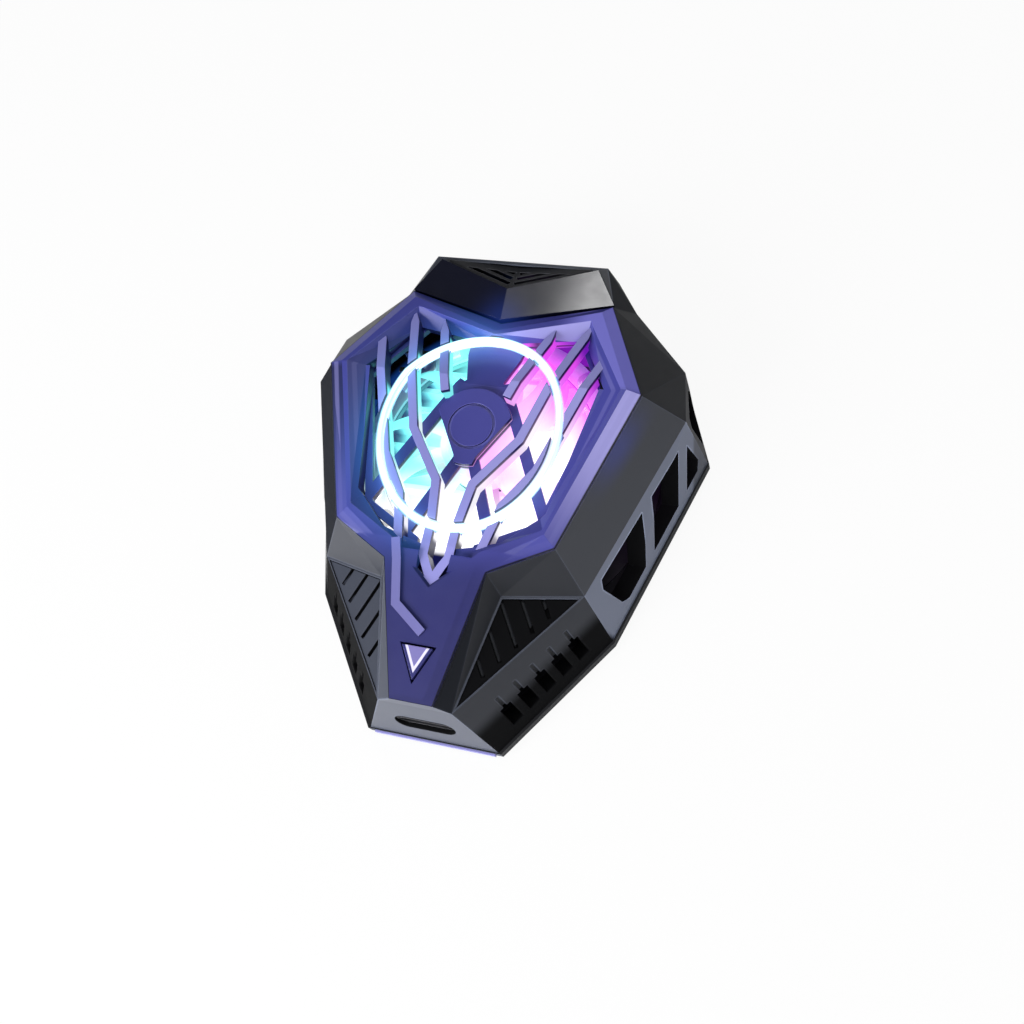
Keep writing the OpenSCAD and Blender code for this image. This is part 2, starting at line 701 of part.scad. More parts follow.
// Louvred panel between the cap and the end wall; gap widens its seat, rise lets the seat reach up
module vent_blank(gap, rise) {
    t = cap_t;
    y0 = 23.5 * sy - gap;
    y1 = t[1] + 0.3;
    zt = zs(18 * sy) + 0.9;
    ze = z_deck - 0.5;
    h = 1.3 + gap;
    lo = [[0, y0, zt - h], [t[0] - 1 + gap, t[1] - 0.15 - gap, z_deck + 0.5 - h],
        [t[0] - 1 + gap, y1 + gap, z_deck + 0.4 - h], [0, y1 + gap, ze - h]];
    up = [for (p = lo) [p[0], p[1], p[2] + 1.3 + rise]];
    pair() polyhedron(concat(lo, up), [[0, 2, 3], [0, 1, 2], [6, 5, 4], [7, 6, 4], [4, 5, 1],
        [0, 4, 1], [5, 6, 2], [1, 5, 2],
        [6, 7, 3], [2, 6, 3], [7, 4, 0], [3, 7, 0]]);
}

module top_vent() {
    t = cap_t;
    d = [t[0], t[1] - 23.5 * sy];
    a = atan2(d[1], d[0]);
    color([0.09, 0.09, 0.1]) difference() {
        vent_blank(0, 0);
        linear_extrude(60) intersection() {
            polygon(both([[0, 20], [11, 27.2 * sy], [11, t[1] - 1], [0, t[1] - 1]]));
            for (m = [0, 1], k = [0:3])
                mirror([m, 0]) translate([0.5, 24.6 * sy + k * 1.35]) rotate(a) square([14, 0.7]);
        }
    }
}

// Turns a piece from the middle of a tail wall frame into place: x is outwards, z up the wall
module on_strip(u) {
    d = base_p[4] - base_p[5];
    n = [d[1], -d[0], 0] / norm(d);
    az = atan2(n[1], n[0]);
    tilt = atan(((base_p[4] - sho_p[4]) * n) / sho_p[4][2]);
    mid = (foot(6)[4] + foot(6)[5]) / 2;
    translate(mid + d / norm(d) * u) rotate([0, 0, az]) rotate([0, -tilt, 0]) children();
}

module side_windows() {
    zt = win_low + win_h;
    slant = win_h * 0.9;
    gap = strut_w * 1.4;
    y1 = -12.4 * sy;
    w2 = 7.6 * sy;
    p1 = [[-18.6 * sy, win_low + 1], [-17.4 * sy, win_low], [y1, win_low], [y1 + slant * 0.86, zt],
        [-17.6 * sy, zt], [-18.6 * sy, zt - 1.4]];
    y2 = y1 + gap;
    p2 = [[y2, win_low], [y2 + w2, win_low], [y2 + w2 + slant * 0.86, zt], [y2 + slant * 0.86, zt]];
    y3 = y2 + w2 + gap;
    p3 = [[y3, win_low], [3.9 * sy, win_low], [5.2 * sy, win_low + 1.4],
        [5.2 * sy, win_low + (5.2 * sy - y3) / 0.77], [y3 + 0.6, win_low + 0.6 / 0.77]];
    p4 = [[8 * sy, win_low + 1], [9 * sy, win_low], [13.4 * sy, win_low], [14.2 * sy, win_low + 1],
        [14.2 * sy, zt - 1], [13.4 * sy, zt], [9 * sy, zt], [8 * sy, zt - 1]];
    for (p = [p1, p2, p3, p4])
        pair() translate([17 * sx, 0, 0]) rotate([90, 0, 90]) linear_extrude(30) polygon(p);
}

module tail_holes() {
    pitch = 3.35 * sy;
    for (i = [0:hole_n - 1])
        pair() on_strip((i - (hole_n - 1) / 2) * pitch + 0.4) {
            translate([-4, -hole_w / 2, -hole_h / 2]) cube([8, hole_w, hole_h]);
            translate([-0.5, -0.3, hole_h / 2 - 0.1]) cube([4, 0.6, 2.6]);
        }
}

function toward(p, c, k) = p + (c - p) * k;

// Triangular tread beside the tail, sunk below its facet
module grip_blank(k, lo, hi) {
    c = (notch_p + sho_p[4] + sho_p[5]) / 3;
    n = unit(cross(sho_p[4] - notch_p, sho_p[5] - notch_p)) * -1;
    q = [for (p = [notch_p, sho_p[4], sho_p[5]]) toward(p, c, k)];
    polyhedron([q[0] + n * lo, q[1] + n * lo, q[2] + n * lo, q[0] + n * hi, q[1] + n * hi,
        q[2] + n * hi],
        [[2, 1, 0], [3, 4, 5], [0, 1, 4], [0, 4, 3], [1, 2, 5], [1, 5, 4], [2, 0, 3], [2, 3, 5]]);
}

module grip() {
    d = unit(sho_p[4] - sho_p[5]);
    c = (sho_p[4] + sho_p[5]) / 2;
    color([0.035, 0.035, 0.04]) difference() {
        grip_blank(0.095, -0.9, -0.15);
        for (i = [-2:2])
            translate([c[0], c[1], 0] + [d[0], d[1], 0] * i * 3.1) rotate(atan2(d[1], d[0]) + 65)
                translate([1, -0.3, c[2] - 0.45]) cube([12, 0.6, 20]);
    }
}

module grip_right() {
    grip();
}

module grip_left() {
    mirror([1, 0, 0]) grip();
}

module socket_hole(gap) {
    h = usb_h + 2 * gap;
    w = usb_w + 2 * gap;
    translate([0, 0, usb_z]) rotate([90, 0, 0]) linear_extrude(usb_d, center = true) {
        square([w - h, h], center = true);
        for (i = [-1, 1])
            translate([i * (w - h) / 2, 0]) circle(h / 2, $fn = 32);
    }
}

module body_shell() {
    low = foot(z_rear1);
    in_low = [for (i = [0:5]) shift(low[i], base_in[i], -0.01)];
    in_sho = [for (i = [0:5]) shift(sho_p[i], sho_in[i], -0.9)];
    in_crown = [for (i = [0:5]) shift(crown_p[i], crown_in[i], i < 2 ? -3 : -1.7)];
    color([0.14, 0.145, 0.16]) difference() {
        union() {
            difference() {
                crystal(low, sho_p, crown_p, notch_p);
                crystal(in_low, in_sho, in_crown, shift(notch_p, notch_in, -1.2));
            }
            intersection() {
                crystal(low, sho_p, crown_p, notch_p);
                for (p = rear_at)
                    pair() translate([p[0], p[1], 0]) cylinder(z_sh - 1, 2.2, 2.2);
            }
        }
        for (p = rear_at)
            pair() translate([p[0], p[1], 0]) cylinder(z_rear0 + 0.9 + 5.3, screw_r, screw_r, $fn = 32);
        linear_extrude(60) polygon(both([for (p = plug_h)
            [p[0] * 1.008, p[1] + (p[1] > 0 ? 0.12 : -0.12)]]));
        vent_blank(0.1, 20);
        translate([0, 0, z_deck]) linear_extrude(20) polygon(both(cap_seat));
        linear_extrude(60) polygon(both([[0, 24.8 * sy], [10.4 * sx, 27.2 * sy],
            [10.4 * sx, 27.3 * sy], [0, 27.3 * sy]]));
        side_windows();
        tail_holes();
        pair() grip_blank(0.075, -0.9, 3);
        translate([0, usb_y - 1, 0]) socket_hole(0.15);
        translate([0, 0, zs(button_y) - 9]) linear_extrude(20) translate([0, button_y])
            triangle(button_w + 3.6 * button_gap);
    }
}

module main_board() {
    color([0.05, 0.22, 0.12]) difference() {
        translate([-board_x, board_y0, z_board0]) cube([2 * board_x, board_y1 - board_y0, board_t]);
        pair() translate([board_at[0], board_at[1], 0])
            cylinder(20, screw_r + eps, screw_r + eps, $fn = 32);
    }
}

module board_screws() {
    len = z_board1 - z_rear0 - 0.9;
    color([0.35, 0.35, 0.37]) pair() translate([board_at[0], board_at[1], z_board1 - len]) screw(len);
}

module usb_shell() {
    color([0.75, 0.76, 0.78]) difference() {
        translate([0, usb_y + usb_d / 2, 0]) socket_hole(0);
        translate([0, usb_y + usb_d / 2 - 0.6, 0]) socket_hole(-0.3);
    }
}

module usb_tongue() {
    color([0.08, 0.08, 0.09]) translate([-3.35, usb_y + 0.9, usb_z - 0.35])
        cube([6.7, usb_d - 1.5, 0.7]);
}

module tact_switch() {
    color([0.6, 0.6, 0.62]) translate([-switch_w / 2, switch_y - switch_w / 2, z_board1]) difference() {
        cube([switch_w, switch_w, switch_h]);
        translate([switch_w / 2, switch_w / 2, switch_h - 1])
            cylinder(2, plunger_r + fit, plunger_r + fit, $fn = 32);
    }
}

module switch_plunger() {
    color([0.1, 0.1, 0.1]) translate([0, switch_y, z_board1 + switch_h - 1 + button_travel + 0.05])
        cylinder(plunger_h + 1 - button_travel - 0.05, plunger_r, plunger_r, $fn = 32);
}

module mode_button() {
    z0 = z_board1 + switch_h + plunger_h;
    zb = zs(button_y) - 3.2;
    color([0.62, 0.58, 0.85]) {
        intersection() {
            translate([0, 0, zb]) linear_extrude(20) translate([0, button_y]) triangle(button_w);
            fold(-9, rim_h + 0.2);
        }
        translate([-1, button_y - 1, zb - 1]) cube([2, switch_y - button_y + 2, 1.2]);
        translate([0, switch_y, z0]) cylinder(zb - z0 - 0.9, 1, 1, $fn = 32);
    }
}

rear_cover();
rear_screws();
tail_trim();
contact_pad();
cold_plate();
magnets();
magnet_yoke();
tec_cold_side();
tec_legs();
tec_hot_side();
tec_seal();
heat_sink();
sink_screws();
fan_frame();
frame_screws();
bearing_sleeve();
stator_core();
stator_coils();
fan_rotor();
rotor_yoke();
rotor_magnet();
rotor_shaft();
lamp_board();
lamps();
inner_grille();
hub_cap();
light_ring();
front_cover();
top_cap();
top_vent();
body_shell();
grip_right();
grip_left();
main_board();
board_screws();
usb_shell();
usb_tongue();
tact_switch();
switch_plunger();
mode_button();
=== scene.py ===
"""Looks of a magnetic phone cooling fan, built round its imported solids.

Metres, +Z out of the grille, -Y at the socket end. The solids keep their places; two of them are replaced by
finer surfaces (the rotor and the light band), the socket contacts are added, and every surface gets a procedural
finish. Surface functions and finishes work in millimetres.
"""

import bpy
import numpy as np
from bpy.props import FloatProperty, FloatVectorProperty, IntProperty, PointerProperty
from mathutils import Matrix, Vector


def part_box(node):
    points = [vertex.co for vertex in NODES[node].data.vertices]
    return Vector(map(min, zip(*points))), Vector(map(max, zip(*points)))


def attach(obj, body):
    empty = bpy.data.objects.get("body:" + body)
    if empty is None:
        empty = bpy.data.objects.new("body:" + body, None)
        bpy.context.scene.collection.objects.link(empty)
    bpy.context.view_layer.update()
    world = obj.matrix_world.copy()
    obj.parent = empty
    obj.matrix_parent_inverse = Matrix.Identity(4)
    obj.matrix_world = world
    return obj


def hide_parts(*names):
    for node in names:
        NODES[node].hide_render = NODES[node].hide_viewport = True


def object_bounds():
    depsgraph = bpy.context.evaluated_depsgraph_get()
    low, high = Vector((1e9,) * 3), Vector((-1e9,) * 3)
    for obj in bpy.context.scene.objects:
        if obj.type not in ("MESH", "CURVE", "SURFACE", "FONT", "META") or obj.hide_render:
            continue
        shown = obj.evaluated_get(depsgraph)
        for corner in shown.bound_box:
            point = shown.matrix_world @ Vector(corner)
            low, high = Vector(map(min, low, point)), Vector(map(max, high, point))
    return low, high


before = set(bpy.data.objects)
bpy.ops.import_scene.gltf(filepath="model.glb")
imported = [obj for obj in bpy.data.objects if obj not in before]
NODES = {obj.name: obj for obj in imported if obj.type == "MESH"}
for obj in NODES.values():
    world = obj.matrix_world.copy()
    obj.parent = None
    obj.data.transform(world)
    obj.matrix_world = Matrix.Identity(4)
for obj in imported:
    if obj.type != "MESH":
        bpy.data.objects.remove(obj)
CAD_BOX = [list(corner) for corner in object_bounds()]

bl_info = {
    "name": "Phone cooling fan looks",
    "version": (1, 0, 0),
    "blender": (4, 5, 0),
    "location": "3D View > Sidebar > Cooler",
    "description": "Finishes, rotor, light band and stage for the phone cooling fan",
    "category": "Object",
}

MM = 0.001
# Folded surface of the front cover in plan, as in the part's source (millimetres)
CREASE_Y = 7.0
CREASE_Z = 21.538
TAIL_Y = -21.8
FALL_TOP, FALL_MAIN, FALL_TAIL = 0.27, 0.045, 0.24
TAIL_Z = CREASE_Z + (TAIL_Y - CREASE_Y) * FALL_MAIN
TAIL_NORMAL = (0.0, -0.234, 0.972)
# Light band: its oval in plan, then the half sizes, depth under the cover and power of its section (millimetres)
BAND_RX, BAND_RY, BAND_Y = 13.4, 15.3, -0.9
BAND_HALF_W, BAND_HALF_H, BAND_SINK, BAND_POWER = 0.74, 0.7, 0.4, 2.6
BAND_STEPS, BAND_SIDES = 288, 20
# Rotor: radii of hub, cup and shaft bore, climb of the blades, and how far a blade enters the hub, stops short of
# the tip circle and stays within the rotor's height (millimetres)
HUB_R, CUP_R, SHAFT_R = 6.4, 5.8, 0.76
BLADE_CLIMB = np.radians(42)
ROOT_SINK, TIP_GAP, BLADE_GAP = 0.25, 0.12, 0.05
BLADE_ROWS, BLADE_COLUMNS, CUP_STEPS = 16, 28, 96
# Contacts of the socket: number and pitch, width and thickness, depth in the tongue, setback (millimetres)
CONTACT_COUNT, CONTACT_PITCH = 12, 0.5
CONTACT_W, CONTACT_T, CONTACT_SUNK, CONTACT_BACK = 0.28, 0.05, 0.01, 0.15
# Triangle of the button in plan, and the socket's opening in the end face (millimetres)
BUTTON_W, BUTTON_Y = 4.6, -34.71
SOCKET_Z, SOCKET_HALF, SOCKET_R = 7.43, 2.835, 1.63
# Place along y where the light ends under the grille, and on the lamps' board (millimetres)
LIGHT_END, BOARD_END = -19.4, -17.2
# Colours in linear light
WHITE = (1.0, 1.0, 1.0)
PALE_PURPLE = (0.3, 0.29, 0.66)
# Colours of painted highlights on the cover's right rim and upper right margin
RIM_HIGHLIGHT = (0.36, 0.34, 0.74)
BROW_HIGHLIGHT = (0.26, 0.25, 0.85)
SHADE_PURPLE = (0.01, 0.01, 0.075)
# Colour of painted shade in the gap along the cover's outer chamfers
GAP_SHADE = (0.002, 0.002, 0.008)
PINK = (0.86, 0.28, 0.87)
NAVY = (0.003, 0.022, 0.13)
VIOLET = (0.16, 0.008, 0.42)
NIGHT = (0.002, 0.003, 0.06)
BACK_BLUE = (0.004, 0.03, 0.16)
# Soft boxes of the studio: name, watts, width and height, place (metres)
SOFT_BOXES = (
    ("key", 2.8, (0.30, 0.30), (-0.26, -0.34, 0.22)),
    ("left", 0.12, (0.15, 0.35), (-0.46, 0.0, 0.10)),
    ("right", 0.3, (0.12, 0.40), (0.46, -0.06, 0.08)),
    ("top", 0.3, (0.5, 0.5), (0.05, 0.10, 0.55)),
    ("top_right", 0.25, (0.22, 0.22), (0.24, 0.07, 0.48)),
    ("back", 0.46, (0.16, 0.12), (-0.02, 0.32, 0.50)),
    ("front", 0.5, (0.30, 0.15), (0.05, -0.48, 0.10)),
    ("front_top", 0.6, (0.25, 0.2), (0.09, -0.40, 0.35)),
)
LIGHT_AIM = (0, -0.005, 0.01)
# Camera fitted to the photograph: its right, up and back directions, its place (metres), its focal length and the
# image's width in pixels, and the sensor's width (millimetres)
CAMERA_AXES = (
    (0.94793249, 0.22420899, -0.2261732),
    (-0.13195802, 0.92287079, 0.36179632),
    (0.28984663, -0.31311312, 0.90440539),
)
CAMERA_PLACE = (0.0556106, -0.0625043, 0.1648108)
FOCAL_PIXELS, IMAGE_PIXELS, SENSOR = 1139.988, 1024, 36.0
# Floor: half its width, its gap under the part (millimetres) and the points along a side
FLOOR_HALF, FLOOR_GAP, FLOOR_POINTS = 1500.0, 0.02, 9


def times(colour, amount):
    """Colour times a plain number."""
    return tuple(amount * c for c in colour)


def fold_height(y):
    """Height of the cover's folded surface over the back face: three straight slopes along y, in mm."""
    top = CREASE_Z - (y - CREASE_Y) * FALL_TOP
    middle = CREASE_Z + (y - CREASE_Y) * FALL_MAIN
    tail = TAIL_Z + (y - TAIL_Y) * FALL_TAIL
    return np.where(y > CREASE_Y, top, np.where(y < TAIL_Y, tail, middle))


class CoolerLooks(bpy.types.PropertyGroup):
    """Sizes and colours that a user would change."""

    cover_colour: FloatVectorProperty(
        name="Cover", description="Satin purple of the folded cover", subtype="COLOR", size=3,
        min=0, max=1, default=(0.06, 0.062, 0.31))
    shell_colour: FloatVectorProperty(
        name="Housing", description="Gunmetal grey of the faceted housing", subtype="COLOR", size=3,
        min=0, max=1, default=(0.026, 0.03, 0.043))
    black_colour: FloatVectorProperty(
        name="Black mouldings", description="Near black of the insets, vent and rear cover", subtype="COLOR",
        size=3, min=0, max=1, default=(0.012, 0.0125, 0.015))
    glow_left: FloatVectorProperty(
        name="Light, left", description="Colour of the light at the left of the fan", subtype="COLOR", size=3,
        min=0, max=1, default=(0.2, 0.93, 0.9))
    glow_right: FloatVectorProperty(
        name="Light, right", description="Colour of the light at the right of the fan", subtype="COLOR", size=3,
        min=0, max=1, default=(0.86, 0.08, 0.93))
    band_colour: FloatVectorProperty(
        name="Light band", description="Colour of the lit oval band", subtype="COLOR", size=3,
        min=0, max=1, default=(0.2, 0.85, 0.95))
    band_strength: FloatProperty(
        name="Band strength", description="How brightly the oval band shines", min=0, max=20, default=1.9)
    fan_strength: FloatProperty(
        name="Fan strength", description="How brightly the light in the blades shines", min=0, max=10, default=1.3)
    blade_count: IntProperty(
        name="Blades", description="Number of fan blades", min=5, max=13, default=9)
    blade_chord: FloatProperty(
        name="Blade chord", description="Length of a blade's section", unit="LENGTH", min=0.004, max=0.0066,
        default=0.0062)
    blade_thick: FloatProperty(
        name="Blade thickness", description="Thickest part of a blade's section", unit="LENGTH", min=0.0005,
        max=0.0014, default=0.00085)
    blade_camber: FloatProperty(
        name="Blade camber", description="Bow of a blade's section", unit="LENGTH", min=0, max=0.0009,
        default=0.00045)
    blade_sweep: FloatProperty(
        name="Blade sweep", description="Turn of the blade from root to tip", subtype="ANGLE", min=-0.6, max=0.6,
        default=0.3)


class CoolerStage(bpy.types.PropertyGroup):
    """Light and floor of the studio."""

    level: FloatProperty(
        name="Light level", description="Share of the soft boxes' own power", min=0, default=1.0)
    ambient: FloatProperty(
        name="Ambient", description="Strength of the even light all round", min=0, default=0.06)
    floor_white: FloatProperty(
        name="Floor white", description="Share of plain white in the floor as seen", min=0, max=1, default=0.92)


class Wire:
    """A socket's value in a finish; sums, products and tests of wires add Math nodes."""

    def __init__(self, finish, socket):
        self.finish = finish
        self.socket = socket

    def _math(self, operation, *values):
        return self.finish.node("ShaderNodeMath", {"operation": operation}, dict(enumerate(values)))

    def __add__(self, other):
        return self._math("ADD", self, other)

    def __radd__(self, other):
        return self._math("ADD", other, self)

    def __sub__(self, other):
        return self._math("SUBTRACT", self, other)

    def __rsub__(self, other):
        return self._math("SUBTRACT", other, self)

    def __mul__(self, other):
        return self._math("MULTIPLY", self, other)

    def __rmul__(self, other):
        return self._math("MULTIPLY", other, self)

    def __truediv__(self, other):
        return self._math("DIVIDE", self, other)

    def __rtruediv__(self, other):
        return self._math("DIVIDE", other, self)

    def __neg__(self):
        return self._math("MULTIPLY", self, -1.0)

    def __abs__(self):
        return self._math("ABSOLUTE", self)

    def root(self):
        """Square root."""
        return self._math("SQRT", self)

    def wave(self):
        """Sine."""
        return self._math("SINE", self)

    def fade(self):
        """e to the power of minus this."""
        return self._math("EXPONENT", -self)

    def least(self, other):
        return self._math("MINIMUM", self, other)

    def most(self, other):
        return self._math("MAXIMUM", self, other)

    def step(self, low, high):
        """Smooth step from 0 at low to 1 at high; low may be above high."""
        flip = low > high
        start, stop = (high, low) if flip else (low, high)
        share = self.finish.node(
            "ShaderNodeMapRange", {"interpolation_type": "SMOOTHSTEP", "clamp": True},
            {"Value": self, "From Min": start, "From Max": stop, "To Min": 0.0, "To Max": 1.0})
        return 1.0 - share if flip else share


class Finish:
    """A procedural material: a Principled shader and the wires that feed it."""

    def __init__(self, name):
        self.material = bpy.data.materials.new(name)
        self.material.use_nodes = True
        self.tree = self.material.node_tree
        self.shader = self.tree.nodes["Principled BSDF"]
        place = self.node("ShaderNodeTexCoord", {}, {}, "Object")
        self.place = self.node("ShaderNodeVectorMath", {"operation": "SCALE"}, {0: place, "Scale": 1 / MM})
        self.x, self.y, self.z = (self.node("ShaderNodeSeparateXYZ", {}, {0: self.place}, k) for k in "XYZ")

    def node(self, kind, settings, inputs, out=0):
        """Adds a node, sets its settings first, then its sockets' values or links, and returns one output."""
        made = self.tree.nodes.new(kind)
        for key, value in settings.items():
            setattr(made, key, value)
        for key, value in inputs.items():
            self.feed(made.inputs[key], value)
        return Wire(self, made.outputs[out])

    def feed(self, socket, value):
        """Links a wire to a socket, or sets the socket's own value."""
        if isinstance(value, Wire):
            self.tree.links.new(value.socket, socket)
        elif socket.type == "RGBA" and len(value) == 3:
            socket.default_value = (*value, 1.0)
        else:
            socket.default_value = value

    def set(self, **sockets):
        """Sets or links sockets of the Principled shader; underscores stand for spaces."""
        for key, value in sockets.items():
            self.feed(self.shader.inputs[key.replace("_", " ")], value)
        return self

    def shine(self, colour, amount, strength=1.0):
        """Light that the surface gives off: a colour times a wire or number."""
        return self.set(Emission_Color=self.scaled(colour, amount), Emission_Strength=strength)

    def facing(self):
        """Parts of the flat surface's own direction along X, Y and Z."""
        flat = self.node("ShaderNodeNewGeometry", {}, {}, "True Normal")
        return [self.node("ShaderNodeSeparateXYZ", {}, {0: flat}, k) for k in "XYZ"]

    def over_fold(self):
        """Height in mm above the folded surface of the cover, which is the least of three slopes."""
        top = CREASE_Z - (self.y - CREASE_Y) * FALL_TOP
        middle = CREASE_Z + (self.y - CREASE_Y) * FALL_MAIN
        tail = TAIL_Z + (self.y - TAIL_Y) * FALL_TAIL
        return self.z - top.least(middle).least(tail)

    def radius(self):
        """Distance in plan from the fan's axis, in mm."""
        return (self.x * self.x + self.y * self.y).root()

    def spot(self, x, y, spread):
        """Soft round spot in plan: e to the power of minus the distance squared over the spread in square mm."""
        across, along = self.x - x, self.y - y
        return ((across * across + along * along) / spread).fade()

    def band_distance(self):
        """Distance in plan from the middle of the light band, in mm, below 0 inside it."""
        across = self.x / BAND_RX
        along = (self.y - BAND_Y) / BAND_RY
        return ((across * across + along * along).root() - 1.0) * (0.5 * (BAND_RX + BAND_RY))

    def mix(self, factor, first, second):
        """Colour between two colours."""
        return self.node("ShaderNodeMix", {"data_type": "RGBA", "clamp_factor": True},
                         {0: factor, 6: first, 7: second}, 2)

    def lean(self, factor, first, second):
        """Direction between two directions."""
        return self.node("ShaderNodeMix", {"data_type": "VECTOR"}, {0: factor, 4: first, 5: second}, 1)

    def scaled(self, colour, amount):
        """Colour times a value."""
        return self.node("ShaderNodeVectorMath", {"operation": "SCALE"}, {0: colour, "Scale": amount})

    def summed(self, first, second):
        """Sum of two colours."""
        return self.node("ShaderNodeVectorMath", {"operation": "ADD"}, {0: first, 1: second})

    def noise(self, size, detail=2.0, rough=0.5, where=None):
        """Noise of a given size in mm, from 0 to 1."""
        return self.node("ShaderNodeTexNoise", {}, {
            "Vector": where or self.place, "Scale": 1.0 / size, "Detail": detail, "Roughness": rough})

    def stretched(self, sx, sy, sz):
        """Place with each axis scaled, for grain that runs one way."""
        return self.node("ShaderNodeVectorMath", {"operation": "MULTIPLY"}, {0: self.place, 1: (sx, sy, sz)})

    def edges(self, radius, samples=6):
        """Rounded normal of the edges, and a mask that is 1 on them."""
        soft = self.node("ShaderNodeBevel", {"samples": samples}, {"Radius": radius * MM})
        hard = self.node("ShaderNodeNewGeometry", {}, {}, "True Normal")
        same = self.node("ShaderNodeVectorMath", {"operation": "DOT_PRODUCT"}, {0: soft, 1: hard}, "Value")
        return soft, ((1.0 - same) * 5.0).least(1.0)

    def creases(self, reach):
        """Mask that is 1 in corners where other surfaces stand within the reach, in mm."""
        free = self.node("ShaderNodeAmbientOcclusion", {"samples": 8}, {"Distance": reach * MM}, "AO")
        return free.step(0.8, 0.5)

    def bump(self, height, depth, under=None):
        """Normal of a height given from 0 to 1, with the depth in mm."""
        inputs = {"Height": height, "Distance": depth * MM, "Strength": 1.0}
        if under is not None:
            inputs["Normal"] = under
        return self.node("ShaderNodeBump", {}, inputs)


def light_field(f, looks, end=LIGHT_END):
    """Colour of the light under the grille: cyan at the left, white below, pink and magenta at the right, navy at
    the far left and below the end, a place in mm along y."""
    radius = f.radius()
    corner = 0.7 * f.x + 0.72 * f.y
    colour = f.mix(f.x.step(-5.0, 2.5), tuple(looks.glow_left), PINK)
    colour = f.mix(corner.step(8.5, 15.5), colour, tuple(looks.glow_right))
    low = f.y.step(-4.5, -11.0)
    right, middle = f.spot(11.0, -1.0, 34.0), f.spot(-7.0, -1.0, 9.0)
    colour = f.mix((low + right + 0.8 * middle).least(1.0), colour, (1.0, 0.98, 1.0))
    far_left = radius.step(14.8, 18.0) * f.x.step(-9.0, -13.0) * f.y.step(-12.0, -4.0)
    colour = f.mix(far_left, colour, NAVY)
    far_right = radius.step(17.0, 20.5) * f.x.step(4.0, 8.0)
    colour = f.mix(far_right, colour, VIOLET)
    return f.mix(f.y.step(end + 0.5, end - 0.5), colour, NIGHT)


def back_light(f, right):
    """Faint light on what lies behind the fan: blue at the left, a given colour at the right."""
    return f.mix(f.x.step(-4.0, 4.0), BACK_BLUE, right)


def moulding(name, colour, rough, grain=0.16, depth=0.006, edge=0.12, edge_gain=0.5, coat=0.0, gloss=0.5):
    """Moulded plastic: fine eroded grain, slow cloudiness, and lighter edges that are a painted highlight."""
    f = Finish(name)
    f.soft, f.rim = f.edges(edge)
    f.fine = f.noise(grain, 2.0, 0.6)
    f.body = f.scaled(colour, 0.88 + 0.16 * f.noise(9.0, 3.0) + 0.1 * f.fine)
    # Painted highlight: the edges are lighter than the body
    light = tuple(min(1.0, c * (1.0 + 2.2 * edge_gain) + 0.012 * edge_gain) for c in colour)
    f.paint = f.mix(f.rim * edge_gain, f.body, light)
    f.set(Base_Color=f.paint, Roughness=rough - 0.06 + 0.1 * f.noise(2.2, 3.0) - 0.08 * f.rim,
          Normal=f.bump(f.fine, depth, f.soft), Coat_Weight=coat, Coat_Roughness=0.2, Specular_IOR_Level=gloss)
    return f


def metal(name, colour, rough, lines=(1.0, 1.0, 1.0), size=0.4, depth=0.002, edge=0.1):
    """Machined or rolled metal: grain that runs one way, dull spots and bright edges that are a painted highlight."""
    f = Finish(name)
    soft, rim = f.edges(edge, 4)
    grain = f.noise(size, 3.0, 0.6, f.stretched(*lines))
    spots = f.noise(3.5, 4.0)
    body = f.scaled(colour, 0.8 + 0.16 * grain + 0.12 * spots)
    # Painted highlight: the edges are lighter than the body
    bright = tuple(min(1.0, 1.15 * c + 0.05) for c in colour)
    f.set(Base_Color=f.mix(0.6 * rim, body, bright), Metallic=1.0,
          Roughness=rough - 0.05 + 0.16 * spots + 0.06 * grain, Normal=f.bump(grain, depth, soft))
    return f


def clad(finish, *names):
    """Gives a finish to CAD nodes in place of their own."""
    for name in names:
        data = NODES[name].data
        data.materials.clear()
        data.materials.append(finish.material)


def grid_faces(rows, columns, wrap_rows=False, wrap_columns=True):
    """Quads of a grid of points numbered row by row, wrapped where asked, as one array."""
    r = np.arange(rows if wrap_rows else rows - 1)
    c = np.arange(columns if wrap_columns else columns - 1)
    i, j = np.meshgrid(r, c, indexing="ij")
    k, m = (i + 1) % rows, (j + 1) % columns
    return np.stack([i * columns + j, i * columns + m, k * columns + m, k * columns + j], -1).reshape(-1, 4)


def piece(name, points, faces, finish, body, smooth=True):
    """Makes a mesh object at the origin from points in mm and lists of faces, gives it a finish and lets it ride."""
    data = bpy.data.meshes.new(name)
    data.from_pydata((np.asarray(points, float) * MM).tolist(), [], [list(map(int, f)) for f in faces])
    data.polygons.foreach_set("use_smooth", np.full(len(data.polygons), smooth))
    data.materials.append(finish.material)
    data.update()
    made = bpy.data.objects.new(name, data)
    bpy.context.scene.collection.objects.link(made)
    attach(made, body)
    return made


def revolved(profile, steps):
    """Profile of (radius, height) pairs turned about the fan axis; closed loop of points, outward faces."""
    profile = np.asarray(profile, float)
    turn = np.linspace(0, 2 * np.pi, steps, endpoint=False)
    r, z = profile[:, 0][:, None], profile[:, 1][:, None]
    points = np.stack([r * np.cos(turn), r * np.sin(turn), z + 0 * turn], -1).reshape(-1, 3)
    return points, grid_faces(len(profile), steps, wrap_rows=True)


